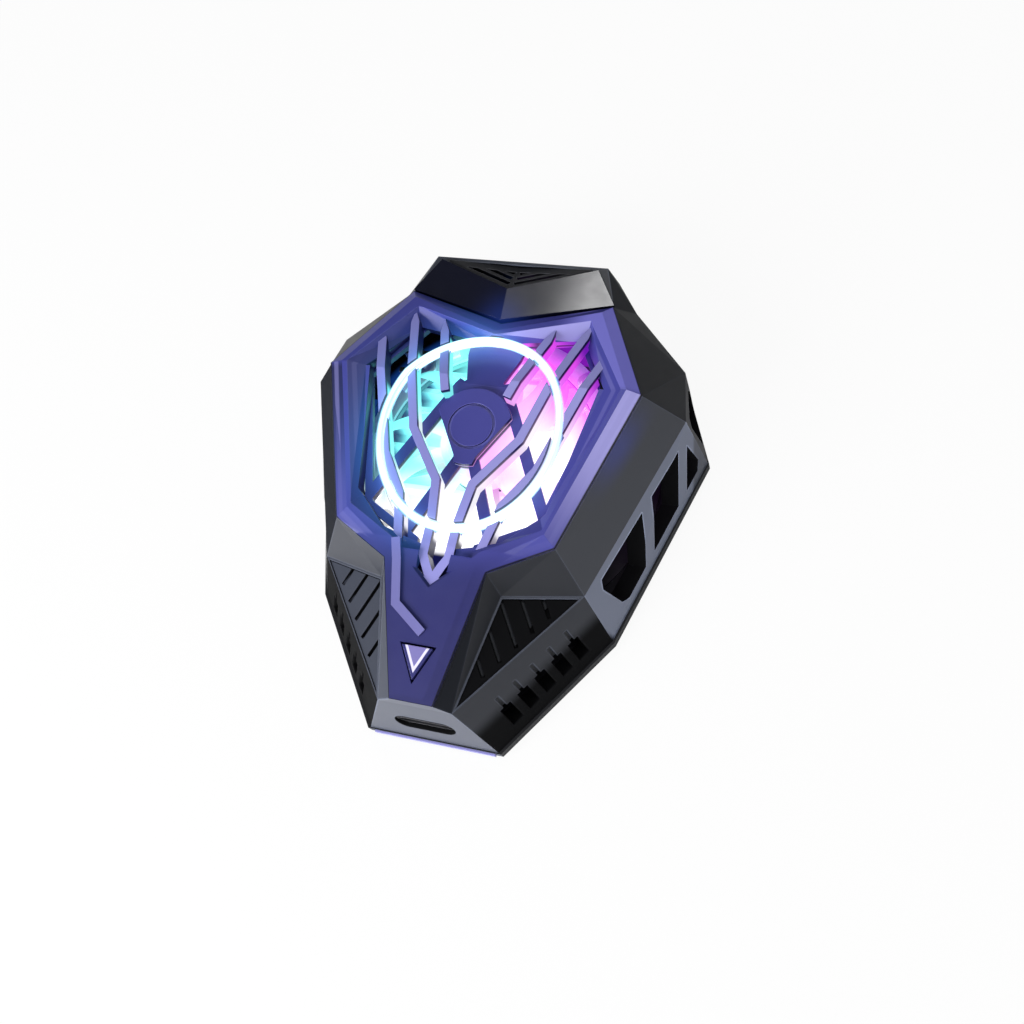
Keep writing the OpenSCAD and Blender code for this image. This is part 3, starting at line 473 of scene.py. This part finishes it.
def rotor_surface(looks):
    """Blades and hub cup of the rotor.

    A blade's section is a bowed lens in the plane of the tangent and the axis: chord s from -1 to 1 along a line
    that climbs 42 degrees, half thickness t * sqrt(1 - s^2) and bow c * (1 - s^2). Sections stand at radii from the
    hub to the tip and turn by the sweep times the square of the share of the way out. The cup is a revolved profile.
    """
    low, high = (np.array(c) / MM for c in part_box("fan_rotor"))
    r_tip, z0, z1 = high[0], low[2], high[2]
    u = np.linspace(0, 1, BLADE_ROWS)[:, None]
    loop = np.linspace(0, 2 * np.pi, BLADE_COLUMNS, endpoint=False)[None, :]
    s = np.cos(loop)
    chord = 0.5 * looks.blade_chord / MM * (0.86 + 0.14 * np.sin(np.pi * (0.15 + 0.8 * u)))
    thick = 0.5 * looks.blade_thick / MM * (1.15 - 0.45 * u)
    bow = looks.blade_camber / MM * (1 - s * s)
    along = chord * s
    across = thick * np.sin(loop) + bow
    side = along * np.cos(BLADE_CLIMB) - across * np.sin(BLADE_CLIMB)
    up = along * np.sin(BLADE_CLIMB) + across * np.cos(BLADE_CLIMB)
    r_root = HUB_R - ROOT_SINK
    radius = r_root + (r_tip - TIP_GAP - r_root) * u
    count = looks.blade_count
    start = np.arange(count) * 2 * np.pi / count
    angle = start[:, None, None] + (looks.blade_sweep * u * u + side / radius)[None]
    height = np.clip(0.5 * (z0 + z1) + up, z0 + BLADE_GAP, z1 - BLADE_GAP)
    blades = np.stack([radius * np.cos(angle), radius * np.sin(angle), height + 0 * angle], -1).reshape(-1, 3)
    first = np.arange(count) * BLADE_ROWS * BLADE_COLUMNS
    faces = (grid_faces(BLADE_ROWS, BLADE_COLUMNS)[None] + first[:, None, None]).reshape(-1, 4).tolist()
    faces += [list(range(k + BLADE_COLUMNS - 1, k - 1, -1)) for k in first]
    faces += [list(range(k + (BLADE_ROWS - 1) * BLADE_COLUMNS, k + BLADE_ROWS * BLADE_COLUMNS)) for k in first]
    # Bore and inner wall of the cup, its outer wall with a rounded top edge, then a groove in the top
    profile = [(SHAFT_R, z1 - 0.8), (CUP_R, z1 - 0.8), (CUP_R, z0), (HUB_R - 0.2, z0), (HUB_R, z0 + 0.2),
               (HUB_R, z1 - 0.7), (HUB_R - 0.1, z1 - 0.35), (HUB_R - 0.35, z1 - 0.1), (HUB_R - 0.7, z1),
               (4.7, z1), (4.6, z1 - 0.12), (4.2, z1 - 0.12), (4.1, z1), (SHAFT_R, z1)]
    cup, cup_faces = revolved(profile, CUP_STEPS)
    faces += (cup_faces + len(blades)).tolist()
    return np.concatenate([blades, cup]), faces


def band_surface():
    """Lit band: a rounded section carried round the oval of the light guide.

    The path is (rx cos a, y0 + ry sin a) at the height of the folded cover; the section is a superellipse about
    1.5 mm wide, from 1.1 mm under the cover to 0.3 mm above it.
    """
    a = np.linspace(0, 2 * np.pi, BAND_STEPS, endpoint=False)[:, None]
    q = np.linspace(0, 2 * np.pi, BAND_SIDES, endpoint=False)[None, :]
    power = 2 / BAND_POWER
    w = BAND_HALF_W * np.sign(np.cos(q)) * np.abs(np.cos(q)) ** power
    h = BAND_HALF_H * np.sign(np.sin(q)) * np.abs(np.sin(q)) ** power
    px, py = BAND_RX * np.cos(a), BAND_Y + BAND_RY * np.sin(a)
    nx, ny = BAND_RY * np.cos(a), BAND_RX * np.sin(a)
    size = np.hypot(nx, ny)
    y = py + w * ny / size
    points = np.stack([px + w * nx / size, y, fold_height(py) - BAND_SINK + h + 0 * y], -1)
    return points.reshape(-1, 3), grid_faces(BAND_STEPS, BAND_SIDES, wrap_rows=True)


def contact_surface():
    """Gold contacts: a row of thin bars on each face of the socket's tongue, one box of eight points per bar."""
    low, high = (np.array(c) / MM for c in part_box("usb_tongue"))
    box = np.array([(x, y, z) for z in (0, 1) for y in (0, 1) for x in (0, 1)], float)
    sides = np.array([[0, 1, 5, 4], [1, 3, 7, 5], [3, 2, 6, 7], [2, 0, 4, 6], [4, 5, 7, 6], [2, 3, 1, 0]])
    at = (np.arange(CONTACT_COUNT) - 0.5 * (CONTACT_COUNT - 1)) * CONTACT_PITCH
    size = np.array([CONTACT_W, high[1] - low[1] - 1.0, CONTACT_T])
    lows = np.concatenate([np.stack([at - 0.5 * CONTACT_W, 0 * at + low[1] + CONTACT_BACK, 0 * at + z], -1)
                           for z in (high[2] - CONTACT_SUNK, low[2] + CONTACT_SUNK - CONTACT_T)])
    points = (lows[:, None, :] + box[None] * size).reshape(-1, 3)
    faces = (sides[None] + (np.arange(len(lows)) * len(box))[:, None, None]).reshape(-1, 4)
    return points, faces[:, ::-1]


class COOLER_OT_rotor(bpy.types.Operator):
    """Builds the milky rotor with curved blades in place of the plain one"""

    bl_idname = "cooler.rotor"
    bl_label = "Rotor"

    def execute(self, context):
        looks = context.scene.cooler_looks
        f = Finish("milky_blades")
        field = light_field(f, looks)
        streak = f.noise(1.3, 3.0, 0.5, f.stretched(0.35, 0.35, 1.6))
        # Painted light: the blades' colour is tinted with the grille's light, and they give that light off
        milk_and_light = f.mix(0.65 + 0.2 * streak, (0.8, 0.86, 0.92), field)
        f.set(Base_Color=f.scaled(milk_and_light, 0.6), Roughness=0.24 + 0.14 * f.noise(0.9), Coat_Weight=0.3,
              Normal=f.bump(f.noise(0.5, 3.0), 0.004))
        f.shine(field, 0.8 + 0.24 * streak, looks.fan_strength)
        points, faces = rotor_surface(looks)
        made = piece("rotor_blades", points, faces, f, "rotor")
        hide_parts("fan_rotor")
        return {"FINISHED"}


class COOLER_OT_band(bpy.types.Operator):
    """Builds the lit oval band with a rounded section and edges that fade out"""

    bl_idname = "cooler.band"
    bl_label = "Light band"

    def execute(self, context):
        looks = context.scene.cooler_looks
        f = Finish("lit_band")
        ripple = f.noise(1.6, 2.0)
        off = f.band_distance()
        core = (off * off / 0.2).fade()
        skirt = (off * off / 0.6).fade()
        ends = abs(f.y - BAND_Y).step(3.0, 12.0)
        right = f.x.step(5.0, 12.0) * (1.0 - ends)
        tint = f.mix(right, tuple(looks.band_colour), (0.42, 0.72, 0.9))
        light = f.summed(f.scaled(tint, skirt * 0.6), f.scaled(WHITE, core * (0.45 + 0.5 * ends - 0.1 * right)))
        f.set(Base_Color=f.mix(ripple, (0.12, 0.16, 0.4), (0.16, 0.2, 0.46)), Roughness=0.16 + 0.1 * ripple,
              Alpha=abs(off).step(0.86, 0.2))
        f.shine(light, 0.88 + 0.2 * ripple, looks.band_strength)
        points, faces = band_surface()
        made = piece("light_band", points, faces, f, "housing")
        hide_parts("light_ring")
        return {"FINISHED"}


class COOLER_OT_contacts(bpy.types.Operator):
    """Builds the gold contacts on the socket's tongue"""

    bl_idname = "cooler.contacts"
    bl_label = "Socket contacts"

    def execute(self, context):
        f = metal("gold_contacts", (0.83, 0.58, 0.22), 0.28, (1.0, 0.1, 1.0), 0.1)
        points, faces = contact_surface()
        piece("socket_contacts", points, faces, f, "housing", smooth=False)
        return {"FINISHED"}


class COOLER_OT_cover(bpy.types.Operator):
    """Finishes the purple pieces: cover, hub plate, inner grille, button and trim"""

    bl_idname = "cooler.cover"
    bl_label = "Purple pieces"

    def cover_paint(self, f):
        """Paint of the folded cover: painted highlights on the rib tops and right rim, a pale rail, a darker tail,
        painted shade on the left slopes and left rim, flat tail.
        """
        out, along, up = f.facing()
        rise = f.over_fold()
        tail = f.y.step(-18.6, -19.2) * up.step(0.4, 0.45)
        paint = f.mix(f.y.step(-15.0, -24.0), f.mix(tail, f.paint, f.body), f.scaled(f.body, 0.42))
        # Painted shade on the slopes of the left dish
        left_slope_shade = up.step(0.98, 0.96) * up.step(0.6, 0.7) * f.x.step(-3.0, -6.0) * out.step(0.1, 0.2)
        paint = f.mix(left_slope_shade * 0.5, paint, f.scaled(paint, 0.3))
        # Painted highlight on the right rim and on the facet of the dish at the top right
        right = f.x.step(8.0, 14.0)
        right_rim_highlight = out.step(0.22, 0.28) * up.step(0.85, 0.9) * f.y.step(-20.0, 0.0) * right
        facet = along.step(-0.4, -0.5) * up.step(0.6, 0.7) * f.x.step(0.0, 3.0) * f.y.step(4.0, 7.0)
        paint = f.mix(facet, f.mix(right_rim_highlight, paint, RIM_HIGHLIGHT), PALE_PURPLE)
        # Painted highlight on the upper right margin, and painted shade on the left rim
        bright = right * f.y.step(6.0, 8.0) * along.step(0.2, 0.24) * up.step(0.78, 0.82)
        paint = f.mix(0.85 * bright, paint, BROW_HIGHLIGHT)
        gloom = out.step(-0.26, -0.32) * up.step(0.85, 0.9) * f.x.step(-8.0, -14.0) * f.y.step(-20.0, 4.0)
        paint = f.mix(gloom * f.y.step(8.0, 6.0), paint, f.scaled(paint, 0.25))
        # Painted highlight on the tops of the ribs, a little stronger towards the right, and the paler rail
        tops = rise.step(0.22, 0.3) * rise.step(0.62, 0.5) * up.step(0.9, 0.96) * f.y.step(-26.0, -25.0)
        rail = rise.step(1.05, 1.15)
        paint = f.mix((tops + 0.6 * rail).least(1.0) * (0.8 + 0.2 * f.x.step(-4.0, 6.0)), paint, PALE_PURPLE)
        # Painted shade of the gap along the outer chamfers: a dark line
        outer = (out * f.x + along * (f.y + 2.0)).step(0.5, 1.0) * up.step(0.97, 0.95) * rise.step(0.12, 0.05)
        f.set(Normal=f.bump(f.fine, 0.004, f.lean(tail, f.soft, TAIL_NORMAL)))
        return f.mix(outer, paint, GAP_SHADE)

    def hub_paint(self, f):
        """Paint of the hub plate, lighter in its round groove."""
        radius = f.radius()
        return f.mix(radius.step(3.1, 3.2) * radius.step(3.7, 3.6), f.paint, (0.14, 0.14, 0.5))

    def bar_paint(self, f):
        """Plain paint of the bars of the inner grille."""
        return f.paint

    def light_up(self, f, paint, looks, spread, gain, crest):
        """Adds the band's glow as painted light; on sides of ribs and bars, painted shade under the crest, and the
        grille's light painted deeper down.
        """
        up, rise, off = f.facing()[2], f.over_fold(), f.band_distance()
        sides = up.step(0.35, 0.25) * rise.step(crest + 0.1, crest)
        within = (off.step(2.4, 1.4) + f.x.step(6.0, 9.0)).least(1.0)
        lit = sides * within * rise.step(crest - 0.55, crest - 0.95) * f.y.step(-18.6, -17.4)
        glow = (abs(off) / spread).fade() * gain * f.x.step(16.0, -16.0) * (1.0 - sides)
        spill = f.mix(f.x.step(-8.0, 10.0), (0.02, 0.3, 0.9), (0.12, 0.16, 0.8))
        spill = f.mix((off * off / 0.9).fade(), spill, (0.4, 0.75, 1.0))
        f.set(Base_Color=f.mix(sides, paint, SHADE_PURPLE), Emission_Strength=1.0,
              Emission_Color=f.summed(f.scaled(spill, glow), f.scaled(light_field(f, looks), 0.9 * lit)))

    def button(self, purple):
        """Lavender button with thin white lines inside its two lower sides, a painted highlight, and a darker edge."""
        f = moulding("lavender_button", (0.2, 0.18, 0.44), 0.3, edge=0.2, edge_gain=0.6, coat=0.3)
        lean = 0.5 / np.hypot(0.5, 0.98)
        upright = (1 - lean * lean) ** 0.5
        inside = (0.5 * BUTTON_W - abs(f.x)) * upright + (f.y - BUTTON_Y - 0.36 * BUTTON_W) * lean
        face = f.facing()[2].step(0.8, 0.9)
        middle = inside.step(0.3, 0.38) * face
        line = middle * inside.step(0.75, 0.67)
        return f.set(Base_Color=f.mix(line, f.mix(middle, times(purple, 0.5), f.paint), (0.75, 0.72, 0.95)))

    def execute(self, context):
        looks = context.scene.cooler_looks
        purple = tuple(looks.cover_colour)
        # Finish, share of the purple, reach and strength of the glow, height of the crest, paint, node
        for name, share, spread, gain, crest, paint, node in (
                ("satin_purple", 1.0, 2.6, 0.75, 0.35, self.cover_paint, "front_cover"),
                ("hub_purple", 0.9, 2.0, 0.25, -1.3, self.hub_paint, "hub_cap"),
                ("deep_purple", 0.95, 2.4, 0.4, -2.2, self.bar_paint, "inner_grille")):
            f = moulding(name, times(purple, share), 0.36, grain=0.14, depth=0.004, edge=0.16, edge_gain=0.6,
                         gloss=0.4)
            self.light_up(f, paint(f), looks, spread, gain, crest)
            clad(f, node)
        clad(self.button(purple), "mode_button")
        clad(moulding("lavender_trim", PALE_PURPLE, 0.34, edge=0.1, edge_gain=0.4), "tail_trim")
        return {"FINISHED"}


class COOLER_OT_housing(bpy.types.Operator):
    """Finishes the housing, cap, vent, insets, rear cover, pad and fan frame"""

    bl_idname = "cooler.housing"
    bl_label = "Housing"

    def shell(self, grey, black):
        """Gunmetal housing: painted light and shade by facet, painted shade in black in its openings, strips and
        corners, and light lines on its ridges as a painted highlight.
        """
        f = moulding("gunmetal_shell", grey, 0.42, grain=0.13, depth=0.005, edge=0.4, edge_gain=0.8, gloss=0.1)
        nx, ny, nz = f.facing()
        width = abs(f.x)
        right = f.x.step(-0.5, 0.5)
        left = 1.0 - right
        outward = nx * (right * 2.0 - 1.0)
        # Painted light and shade by facet: the right side wall lit and the left one darker, the post at the right
        # wall's upper end darkened, the end face lit, the facets over the crease darker
        wall = outward.step(0.84, 0.87) * ny.step(0.1, 0.0) * width.step(14.0, 16.0)
        post = right * (1.255 * f.y + 3.21 - f.z).step(2.0, 3.2) * f.z.step(1.5, 2.2) * f.y.step(0.0, 2.0)
        end = ny.step(-0.9, -0.95)
        upper = ny.step(0.1, 0.25)
        # Painted light and shade on the facets along the tail and beside the insets, lighter on the left and darker on
        # the right, and darker over the insets and at the left flank
        tail = outward.step(0.45, 0.5) * outward.step(0.62, 0.58) * nz.step(0.7, 0.75)
        shin = outward.step(0.84, 0.87) * width.step(16.0, 14.0)
        brow = ny.step(-0.65, -0.72) * nz.step(0.35, 0.45) * right
        flank = outward.step(0.74, 0.78) * outward.step(0.86, 0.84) * ny.step(-0.1, -0.2) * ny.step(-0.4, -0.36) * left
        tone = (1.0 + wall * (4.6 * right * (1.0 - 0.75 * post) - 0.4 * left) + 1.25 * end - 0.72 * upper
                + tail * (0.8 - 1.45 * right) + shin * (0.4 - 0.9 * right) - 0.6 * brow - 0.6 * flank)
        # Painted shade in black: strips with holes, reveals of the windows, inner sides, low tail, socket's mouth,
        # corners; the upper part of the right strips is lightened again as painted light
        strip = outward.step(0.55, 0.62) * ny.step(-0.4, -0.46)
        reveal = outward.step(0.3, 0.2) * width.step(17.0, 17.6) * f.z.step(12.2, 11.6)
        inward = outward.step(-0.05, -0.15)
        low_tail = f.y.step(-23.0, -24.0) * f.z.step(12.4, 11.6) * ny.step(-0.9, -0.85)
        reach = (width - SOCKET_HALF).most(0.0)
        rise = f.z - SOCKET_Z
        mouth = (reach * reach + rise * rise).root().step(SOCKET_R + 0.34, SOCKET_R + 0.2) * end
        corners = f.creases(0.5) * f.z.step(8.0, 10.0)
        dark = (strip + reveal + inward + low_tail + mouth + corners).least(1.0)
        dark = dark * (1.0 - 0.65 * right * strip * f.z.step(6.5, 9.5))
        # Painted highlight along the ridges
        ridge_highlight = (f.rim * 4.0).least(1.0) * f.z.step(7.0, 9.0)
        paint = f.mix(0.7 * ridge_highlight, f.paint, times(grey, 3.4))
        # Painted light: the light band's blue glow on the right facet beside the cover
        beside = ((f.y + 1.0) * (f.y + 1.0) / 22.0).fade()
        trace = right * outward.step(0.7, 0.75) * ny.step(0.0, -0.1) * f.z.step(17.0, 20.0) * beside
        f.shine((0.0, 0.004, 0.09), trace)
        # Painted shade in black, slightly lighter on its edges as a painted highlight, over the painted facet light and
        # shade
        return f.set(Base_Color=f.mix(dark, f.scaled(paint, tone), f.mix(f.rim * 0.3, times(black, 0.25), black)),
                     Coat_Weight=0.85 * (1.0 - dark) * tone.least(1.0) * (1.0 - flank), Coat_Roughness=0.38,
                     Roughness=(0.36 + 0.1 * f.noise(2.2, 3.0) + 0.5 * (dark + flank)).least(1.0))

    def cap(self):
        """Gloss black whose two flat halves on each side run into each other, with painted blue light at the point."""
        f = moulding("gloss_cap", (0.0025, 0.003, 0.011), 0.24, grain=0.3, depth=0.0003, edge=0.18, edge_gain=0.4,
                     gloss=1.0)
        top = f.facing()[2].step(0.93, 0.95)
        side = f.x.step(-0.01, 0.01) * 2.0 - 1.0
        share = (0.9 * abs(f.x) - 0.3 * (f.y - 18.1)).step(-2.0, 13.0)
        bent = f.node("ShaderNodeCombineXYZ", {}, {
            0: side * (0.23 - 0.1 * share), 1: 0.13 * share - 0.12, 2: 0.97 + 0.02 * share})
        bent = f.node("ShaderNodeVectorMath", {"operation": "NORMALIZE"}, {0: bent})
        # Painted light: a blue glow at the point
        f.shine((0.005, 0.016, 0.11), f.spot(0.0, 18.0, 12.0))
        return f.set(Normal=f.bump(f.fine, 0.0003, f.lean(top, f.soft, bent)))

    def rear(self, grey, black):
        """Black rear cover with a grey end edge, and faint light inside under the fan."""
        f = moulding("rear_black", black, 0.5, edge=0.1, edge_gain=0.6, gloss=0.2)
        nx, ny, nz = f.facing()
        edge = ny.step(-0.7, -0.8) * f.y.step(-36.0, -38.0)
        inside = nz.step(0.9, 0.95) * (f.x * f.x + f.y * f.y).step(800.0, 720.0) * f.y.step(4.0, 9.0)
        f.shine(back_light(f, (0.07, 0.004, 0.2)), inside)
        return f.set(Base_Color=f.mix(edge, f.paint, times(grey, 2.2)))

    def tread(self, name, colour, groove, rough, edge_gain, gloss):
        """Side inset: a plain tone on the face and a darker one in its grooves, which is painted shade."""
        f = moulding(name, colour, rough, edge=0.1, edge_gain=edge_gain, gloss=gloss)
        return f.set(Base_Color=f.mix(f.facing()[2].step(0.93, 0.88), f.paint, groove))

    def fan_frame(self, looks, black):
        """Black frame whose inner sides are lit by the grille's light."""
        f = moulding("lit_frame", black, 0.4, edge=0.1, edge_gain=0.3)
        nx, ny, nz = f.facing()
        lit = (f.x * nx + f.y * ny).step(4.0, 1.0)
        return f.shine(light_field(f, looks), lit * (0.75 + 0.2 * f.noise(1.5)))

    def execute(self, context):
        looks = context.scene.cooler_looks
        grey, black = tuple(looks.shell_colour), tuple(looks.black_colour)
        clad(self.shell(grey, black), "body_shell")
        clad(self.cap(), "top_cap")
        clad(moulding("black_satin", black, 0.5, edge=0.1, edge_gain=0.6, gloss=0.2), "usb_tongue", "switch_plunger")
        clad(moulding("vent_satin", times(black, 1.7), 0.45, edge=0.16, edge_gain=1.6, gloss=0.3), "top_vent")
        clad(self.rear(grey, black), "rear_cover")
        # One moulding in two copies: the right inset painted as in shade, the left one painted as lit
        clad(self.tread("shaded_tread", times(black, 0.3), (0.0008, 0.0008, 0.001), 0.6, 0.0, 0.05), "grip_right")
        clad(self.tread("lit_tread", times(grey, 1.6), times(black, 0.5), 0.5, 0.5, 0.3), "grip_left")
        clad(self.fan_frame(looks, black), "fan_frame")
        clad(moulding("soft_pad", (0.03, 0.03, 0.033), 0.72, grain=0.3, depth=0.01, edge=0.1, edge_gain=0.2),
             "contact_pad", "tec_seal")
        return {"FINISHED"}


class COOLER_OT_metals(bpy.types.Operator):
    """Finishes the metal pieces: heat sink, plates, screws, magnets, motor and socket"""

    bl_idname = "cooler.metals"
    bl_label = "Metals"

    def execute(self, context):
        looks = context.scene.cooler_looks
        f = metal("sink_aluminium", (0.72, 0.73, 0.76), 0.34, (0.05, 1.0, 1.0), 0.25, 0.003)
        # Painted light: the sink gives off the grille's light on its inner, upper part
        f.shine(light_field(f, looks), f.radius().step(20.5, 15.0) * f.z.step(3.5, 7.0))
        clad(f, "heat_sink")
        f = metal("nickel_screws", (0.7, 0.7, 0.72), 0.3, size=0.2)
        # Painted light: the screws give off the grille's light
        f.shine(light_field(f, looks), 0.55)
        clad(f, "frame_screws")
        f = metal("blackened_steel", (0.05, 0.05, 0.055), 0.5, (0.1, 1.0, 1.0), 0.3)
        # Painted light: the yoke's upward faces give off faint light from behind the fan
        f.shine(back_light(f, (0.2, 0.01, 0.42)), f.facing()[2].step(0.9, 0.95) * f.y.step(4.0, 9.0))
        clad(f, "magnet_yoke")
        f = metal("copper_winding", (0.72, 0.3, 0.14), 0.32, size=0.3)
        turns = ((f.x + f.y) * 24.0).wave() * 0.5 + 0.5
        f.set(Normal=f.bump(turns, 0.06))
        clad(f, "stator_coils")
        clad(metal("plate_aluminium", (0.75, 0.76, 0.78), 0.3, size=0.3), "cold_plate")
        clad(metal("black_screws", (0.16, 0.16, 0.17), 0.4, size=0.2), "rear_screws", "sink_screws", "board_screws")
        clad(metal("nickel_magnets", (0.72, 0.71, 0.68), 0.16, size=0.6), "magnets")
        clad(metal("sheet_steel", (0.46, 0.46, 0.48), 0.36, (0.1, 1.0, 1.0), 0.3), "stator_core", "rotor_yoke",
             "tact_switch")
        clad(metal("ground_steel", (0.68, 0.68, 0.7), 0.2, (1.0, 1.0, 0.1), 0.2), "rotor_shaft")
        clad(metal("socket_plate", (0.09, 0.09, 0.1), 0.36, (1.0, 0.08, 1.0), 0.2), "usb_shell")
        clad(metal("sintered_bronze", (0.56, 0.38, 0.17), 0.46, size=0.12, depth=0.01), "bearing_sleeve")
        return {"FINISHED"}


class COOLER_OT_electronics(bpy.types.Operator):
    """Finishes the boards, lamps, thermoelectric module and magnet ring of the motor"""

    bl_idname = "cooler.electronics"
    bl_label = "Boards and module"

    def lit_board(self, f, looks, unlit, shine, strength):
        """Light of the lamps' ring, which is painted light on the board, and painted shade in a dark colour beyond its
        end.
        """
        past = f.y.step(BOARD_END + 0.5, BOARD_END - 0.5)
        f.shine(light_field(f, looks, BOARD_END), shine, strength)
        return f.set(Base_Color=f.mix(past, f.paint, unlit))

    def execute(self, context):
        looks = context.scene.cooler_looks
        f = moulding("green_board", (0.012, 0.09, 0.04), 0.34, grain=0.4, depth=0.002, coat=0.3)
        cells = f.node("ShaderNodeTexBrick", {"offset": 0.35}, {
            "Vector": f.place, "Scale": 0.55, "Mortar Size": 0.06, "Color1": (0.012, 0.085, 0.04),
            "Color2": (0.014, 0.1, 0.05), "Mortar": (0.03, 0.19, 0.09)})
        clad(f.set(Base_Color=cells), "main_board")
        f = moulding("white_board", (0.5, 0.5, 0.5), 0.6, grain=0.3, depth=0.002, gloss=0.05)
        clad(self.lit_board(f, looks, (0.01, 0.01, 0.03), 0.75 + 0.25 * f.noise(2.0), 1.0), "lamp_board")
        f = moulding("lamp_lens", (0.85, 0.85, 0.8), 0.2, grain=0.2, depth=0.001)
        clad(self.lit_board(f, looks, (0.02, 0.02, 0.05), 0.8 + 0.4 * f.noise(0.5), 1.6), "lamps")
        clad(moulding("alumina", (0.78, 0.78, 0.75), 0.6, grain=0.08, depth=0.003), "tec_cold_side", "tec_hot_side")
        clad(metal("bismuth_legs", (0.25, 0.25, 0.28), 0.5, size=0.2, depth=0.006), "tec_legs")
        clad(moulding("bonded_ferrite", (0.03, 0.028, 0.028), 0.62, grain=0.1, depth=0.006), "rotor_magnet")
        return {"FINISHED"}


class COOLER_OT_stage(bpy.types.Operator):
    """Sets the camera, the soft lights, the even surround and the pale floor"""

    bl_idname = "cooler.stage"
    bl_label = "Stage"

    def camera(self, scene):
        """Camera that sees the part as the photograph does."""
        lens = bpy.data.cameras.new("camera")
        lens.sensor_width = SENSOR
        lens.lens = FOCAL_PIXELS / IMAGE_PIXELS * SENSOR
        lens.clip_start = 0.005
        eye = bpy.data.objects.new("camera", lens)
        eye.matrix_world = Matrix.Translation(CAMERA_PLACE) @ Matrix(CAMERA_AXES).transposed().to_4x4()
        scene.collection.objects.link(eye)
        scene.camera = eye

    def lights(self, scene, level):
        """Soft boxes that face the part."""
        for name, watts, size, place in SOFT_BOXES:
            lamp = bpy.data.lights.new(name, "AREA")
            lamp.shape = "RECTANGLE"
            lamp.size, lamp.size_y = size
            lamp.energy = watts * level
            holder = bpy.data.objects.new(name, lamp)
            at = Vector(place)
            turn = (at - Vector(LIGHT_AIM)).to_track_quat("Z", "Y")
            holder.matrix_world = Matrix.Translation(at) @ turn.to_matrix().to_4x4()
            scene.collection.objects.link(holder)

    def surround(self, scene, ambient):
        """Even pale light all round, which the camera sees as plain white."""
        world = bpy.data.worlds.new("surround")
        scene.world = world
        world.use_nodes = True
        tree = world.node_tree
        plain = tree.nodes["Background"]
        plain.inputs["Color"].default_value = (0.9, 0.94, 1.0, 1.0)
        plain.inputs["Strength"].default_value = ambient
        seen = tree.nodes.new("ShaderNodeBackground")
        seen.inputs["Color"].default_value = (*WHITE, 1.0)
        path = tree.nodes.new("ShaderNodeLightPath")
        direct = tree.nodes.new("ShaderNodeMath")
        direct.operation = "MAXIMUM"
        both = tree.nodes.new("ShaderNodeMixShader")
        for start, stop in (
                (path.outputs["Is Camera Ray"], direct.inputs[0]),
                (path.outputs["Is Transmission Ray"], direct.inputs[1]),
                (direct.outputs[0], both.inputs["Fac"]),
                (plain.outputs[0], both.inputs[1]),
                (seen.outputs[0], both.inputs[2]),
                (both.outputs[0], tree.nodes["World Output"].inputs["Surface"])):
            tree.links.new(start, stop)

    def floor(self, scene, white_share):
        """Pale floor under the part, mostly plain white as the camera sees it."""
        f = Finish("pale_floor")
        f.set(Base_Color=f.mix(f.noise(60.0), (0.8, 0.8, 0.8), (0.84, 0.84, 0.84)), Roughness=0.9)
        white = f.node("ShaderNodeEmission", {}, {"Color": WHITE, "Strength": 1.0})
        through = f.node("ShaderNodeLightPath", {}, {}, "Is Transmission Ray")
        share = f.node("ShaderNodeLightPath", {}, {}, "Is Camera Ray").most(through) * white_share
        mixed = f.node("ShaderNodeMixShader", {}, {0: share, 1: Wire(f, f.shader.outputs[0]), 2: white})
        f.tree.links.new(mixed.socket, f.tree.nodes["Material Output"].inputs["Surface"])
        line = np.linspace(-FLOOR_HALF, FLOOR_HALF, FLOOR_POINTS)
        gx, gy = np.meshgrid(line, line, indexing="ij")
        low = CAD_BOX[0][2] / MM - FLOOR_GAP
        points = np.stack([gx, gy, 0 * gx + low], -1).reshape(-1, 3) * MM
        faces = grid_faces(FLOOR_POINTS, FLOOR_POINTS, wrap_columns=False)[:, ::-1]
        data = bpy.data.meshes.new("floor")
        data.from_pydata(points.tolist(), [], faces.tolist())
        data.materials.append(f.material)
        made = bpy.data.objects.new("floor", data)
        scene.collection.objects.link(made)

    def execute(self, context):
        scene, stage = context.scene, context.scene.cooler_stage
        self.camera(scene)
        self.lights(scene, stage.level)
        self.surround(scene, stage.ambient)
        self.floor(scene, stage.floor_white)
        scene.view_settings.view_transform = "Standard"
        return {"FINISHED"}


OPERATORS = (COOLER_OT_rotor, COOLER_OT_band, COOLER_OT_contacts, COOLER_OT_cover, COOLER_OT_housing,
             COOLER_OT_metals, COOLER_OT_electronics, COOLER_OT_stage)


class COOLER_PT_panel(bpy.types.Panel):
    """Lists the cooler's colours, sizes and building steps"""

    bl_idname = "COOLER_PT_panel"
    bl_label = "Phone cooling fan"
    bl_space_type = "VIEW_3D"
    bl_region_type = "UI"
    bl_category = "Cooler"

    def draw(self, context):
        for group in (context.scene.cooler_looks, context.scene.cooler_stage):
            for key in group.__annotations__:
                self.layout.prop(group, key)
        for operator in OPERATORS:
            self.layout.operator(operator.bl_idname)


CLASSES = (CoolerLooks, CoolerStage, *OPERATORS, COOLER_PT_panel)


def register():
    for cls in CLASSES:
        bpy.utils.register_class(cls)
    bpy.types.Scene.cooler_looks = PointerProperty(type=CoolerLooks)
    bpy.types.Scene.cooler_stage = PointerProperty(type=CoolerStage)


def unregister():
    del bpy.types.Scene.cooler_stage
    del bpy.types.Scene.cooler_looks
    for cls in reversed(CLASSES):
        bpy.utils.unregister_class(cls)


def main():
    """Builds every piece and finish in order."""
    register()
    for step in (bpy.ops.cooler.rotor, bpy.ops.cooler.band, bpy.ops.cooler.contacts, bpy.ops.cooler.cover,
                 bpy.ops.cooler.housing, bpy.ops.cooler.metals, bpy.ops.cooler.electronics, bpy.ops.cooler.stage):
        step()


if __name__ == "__main__":
    main()
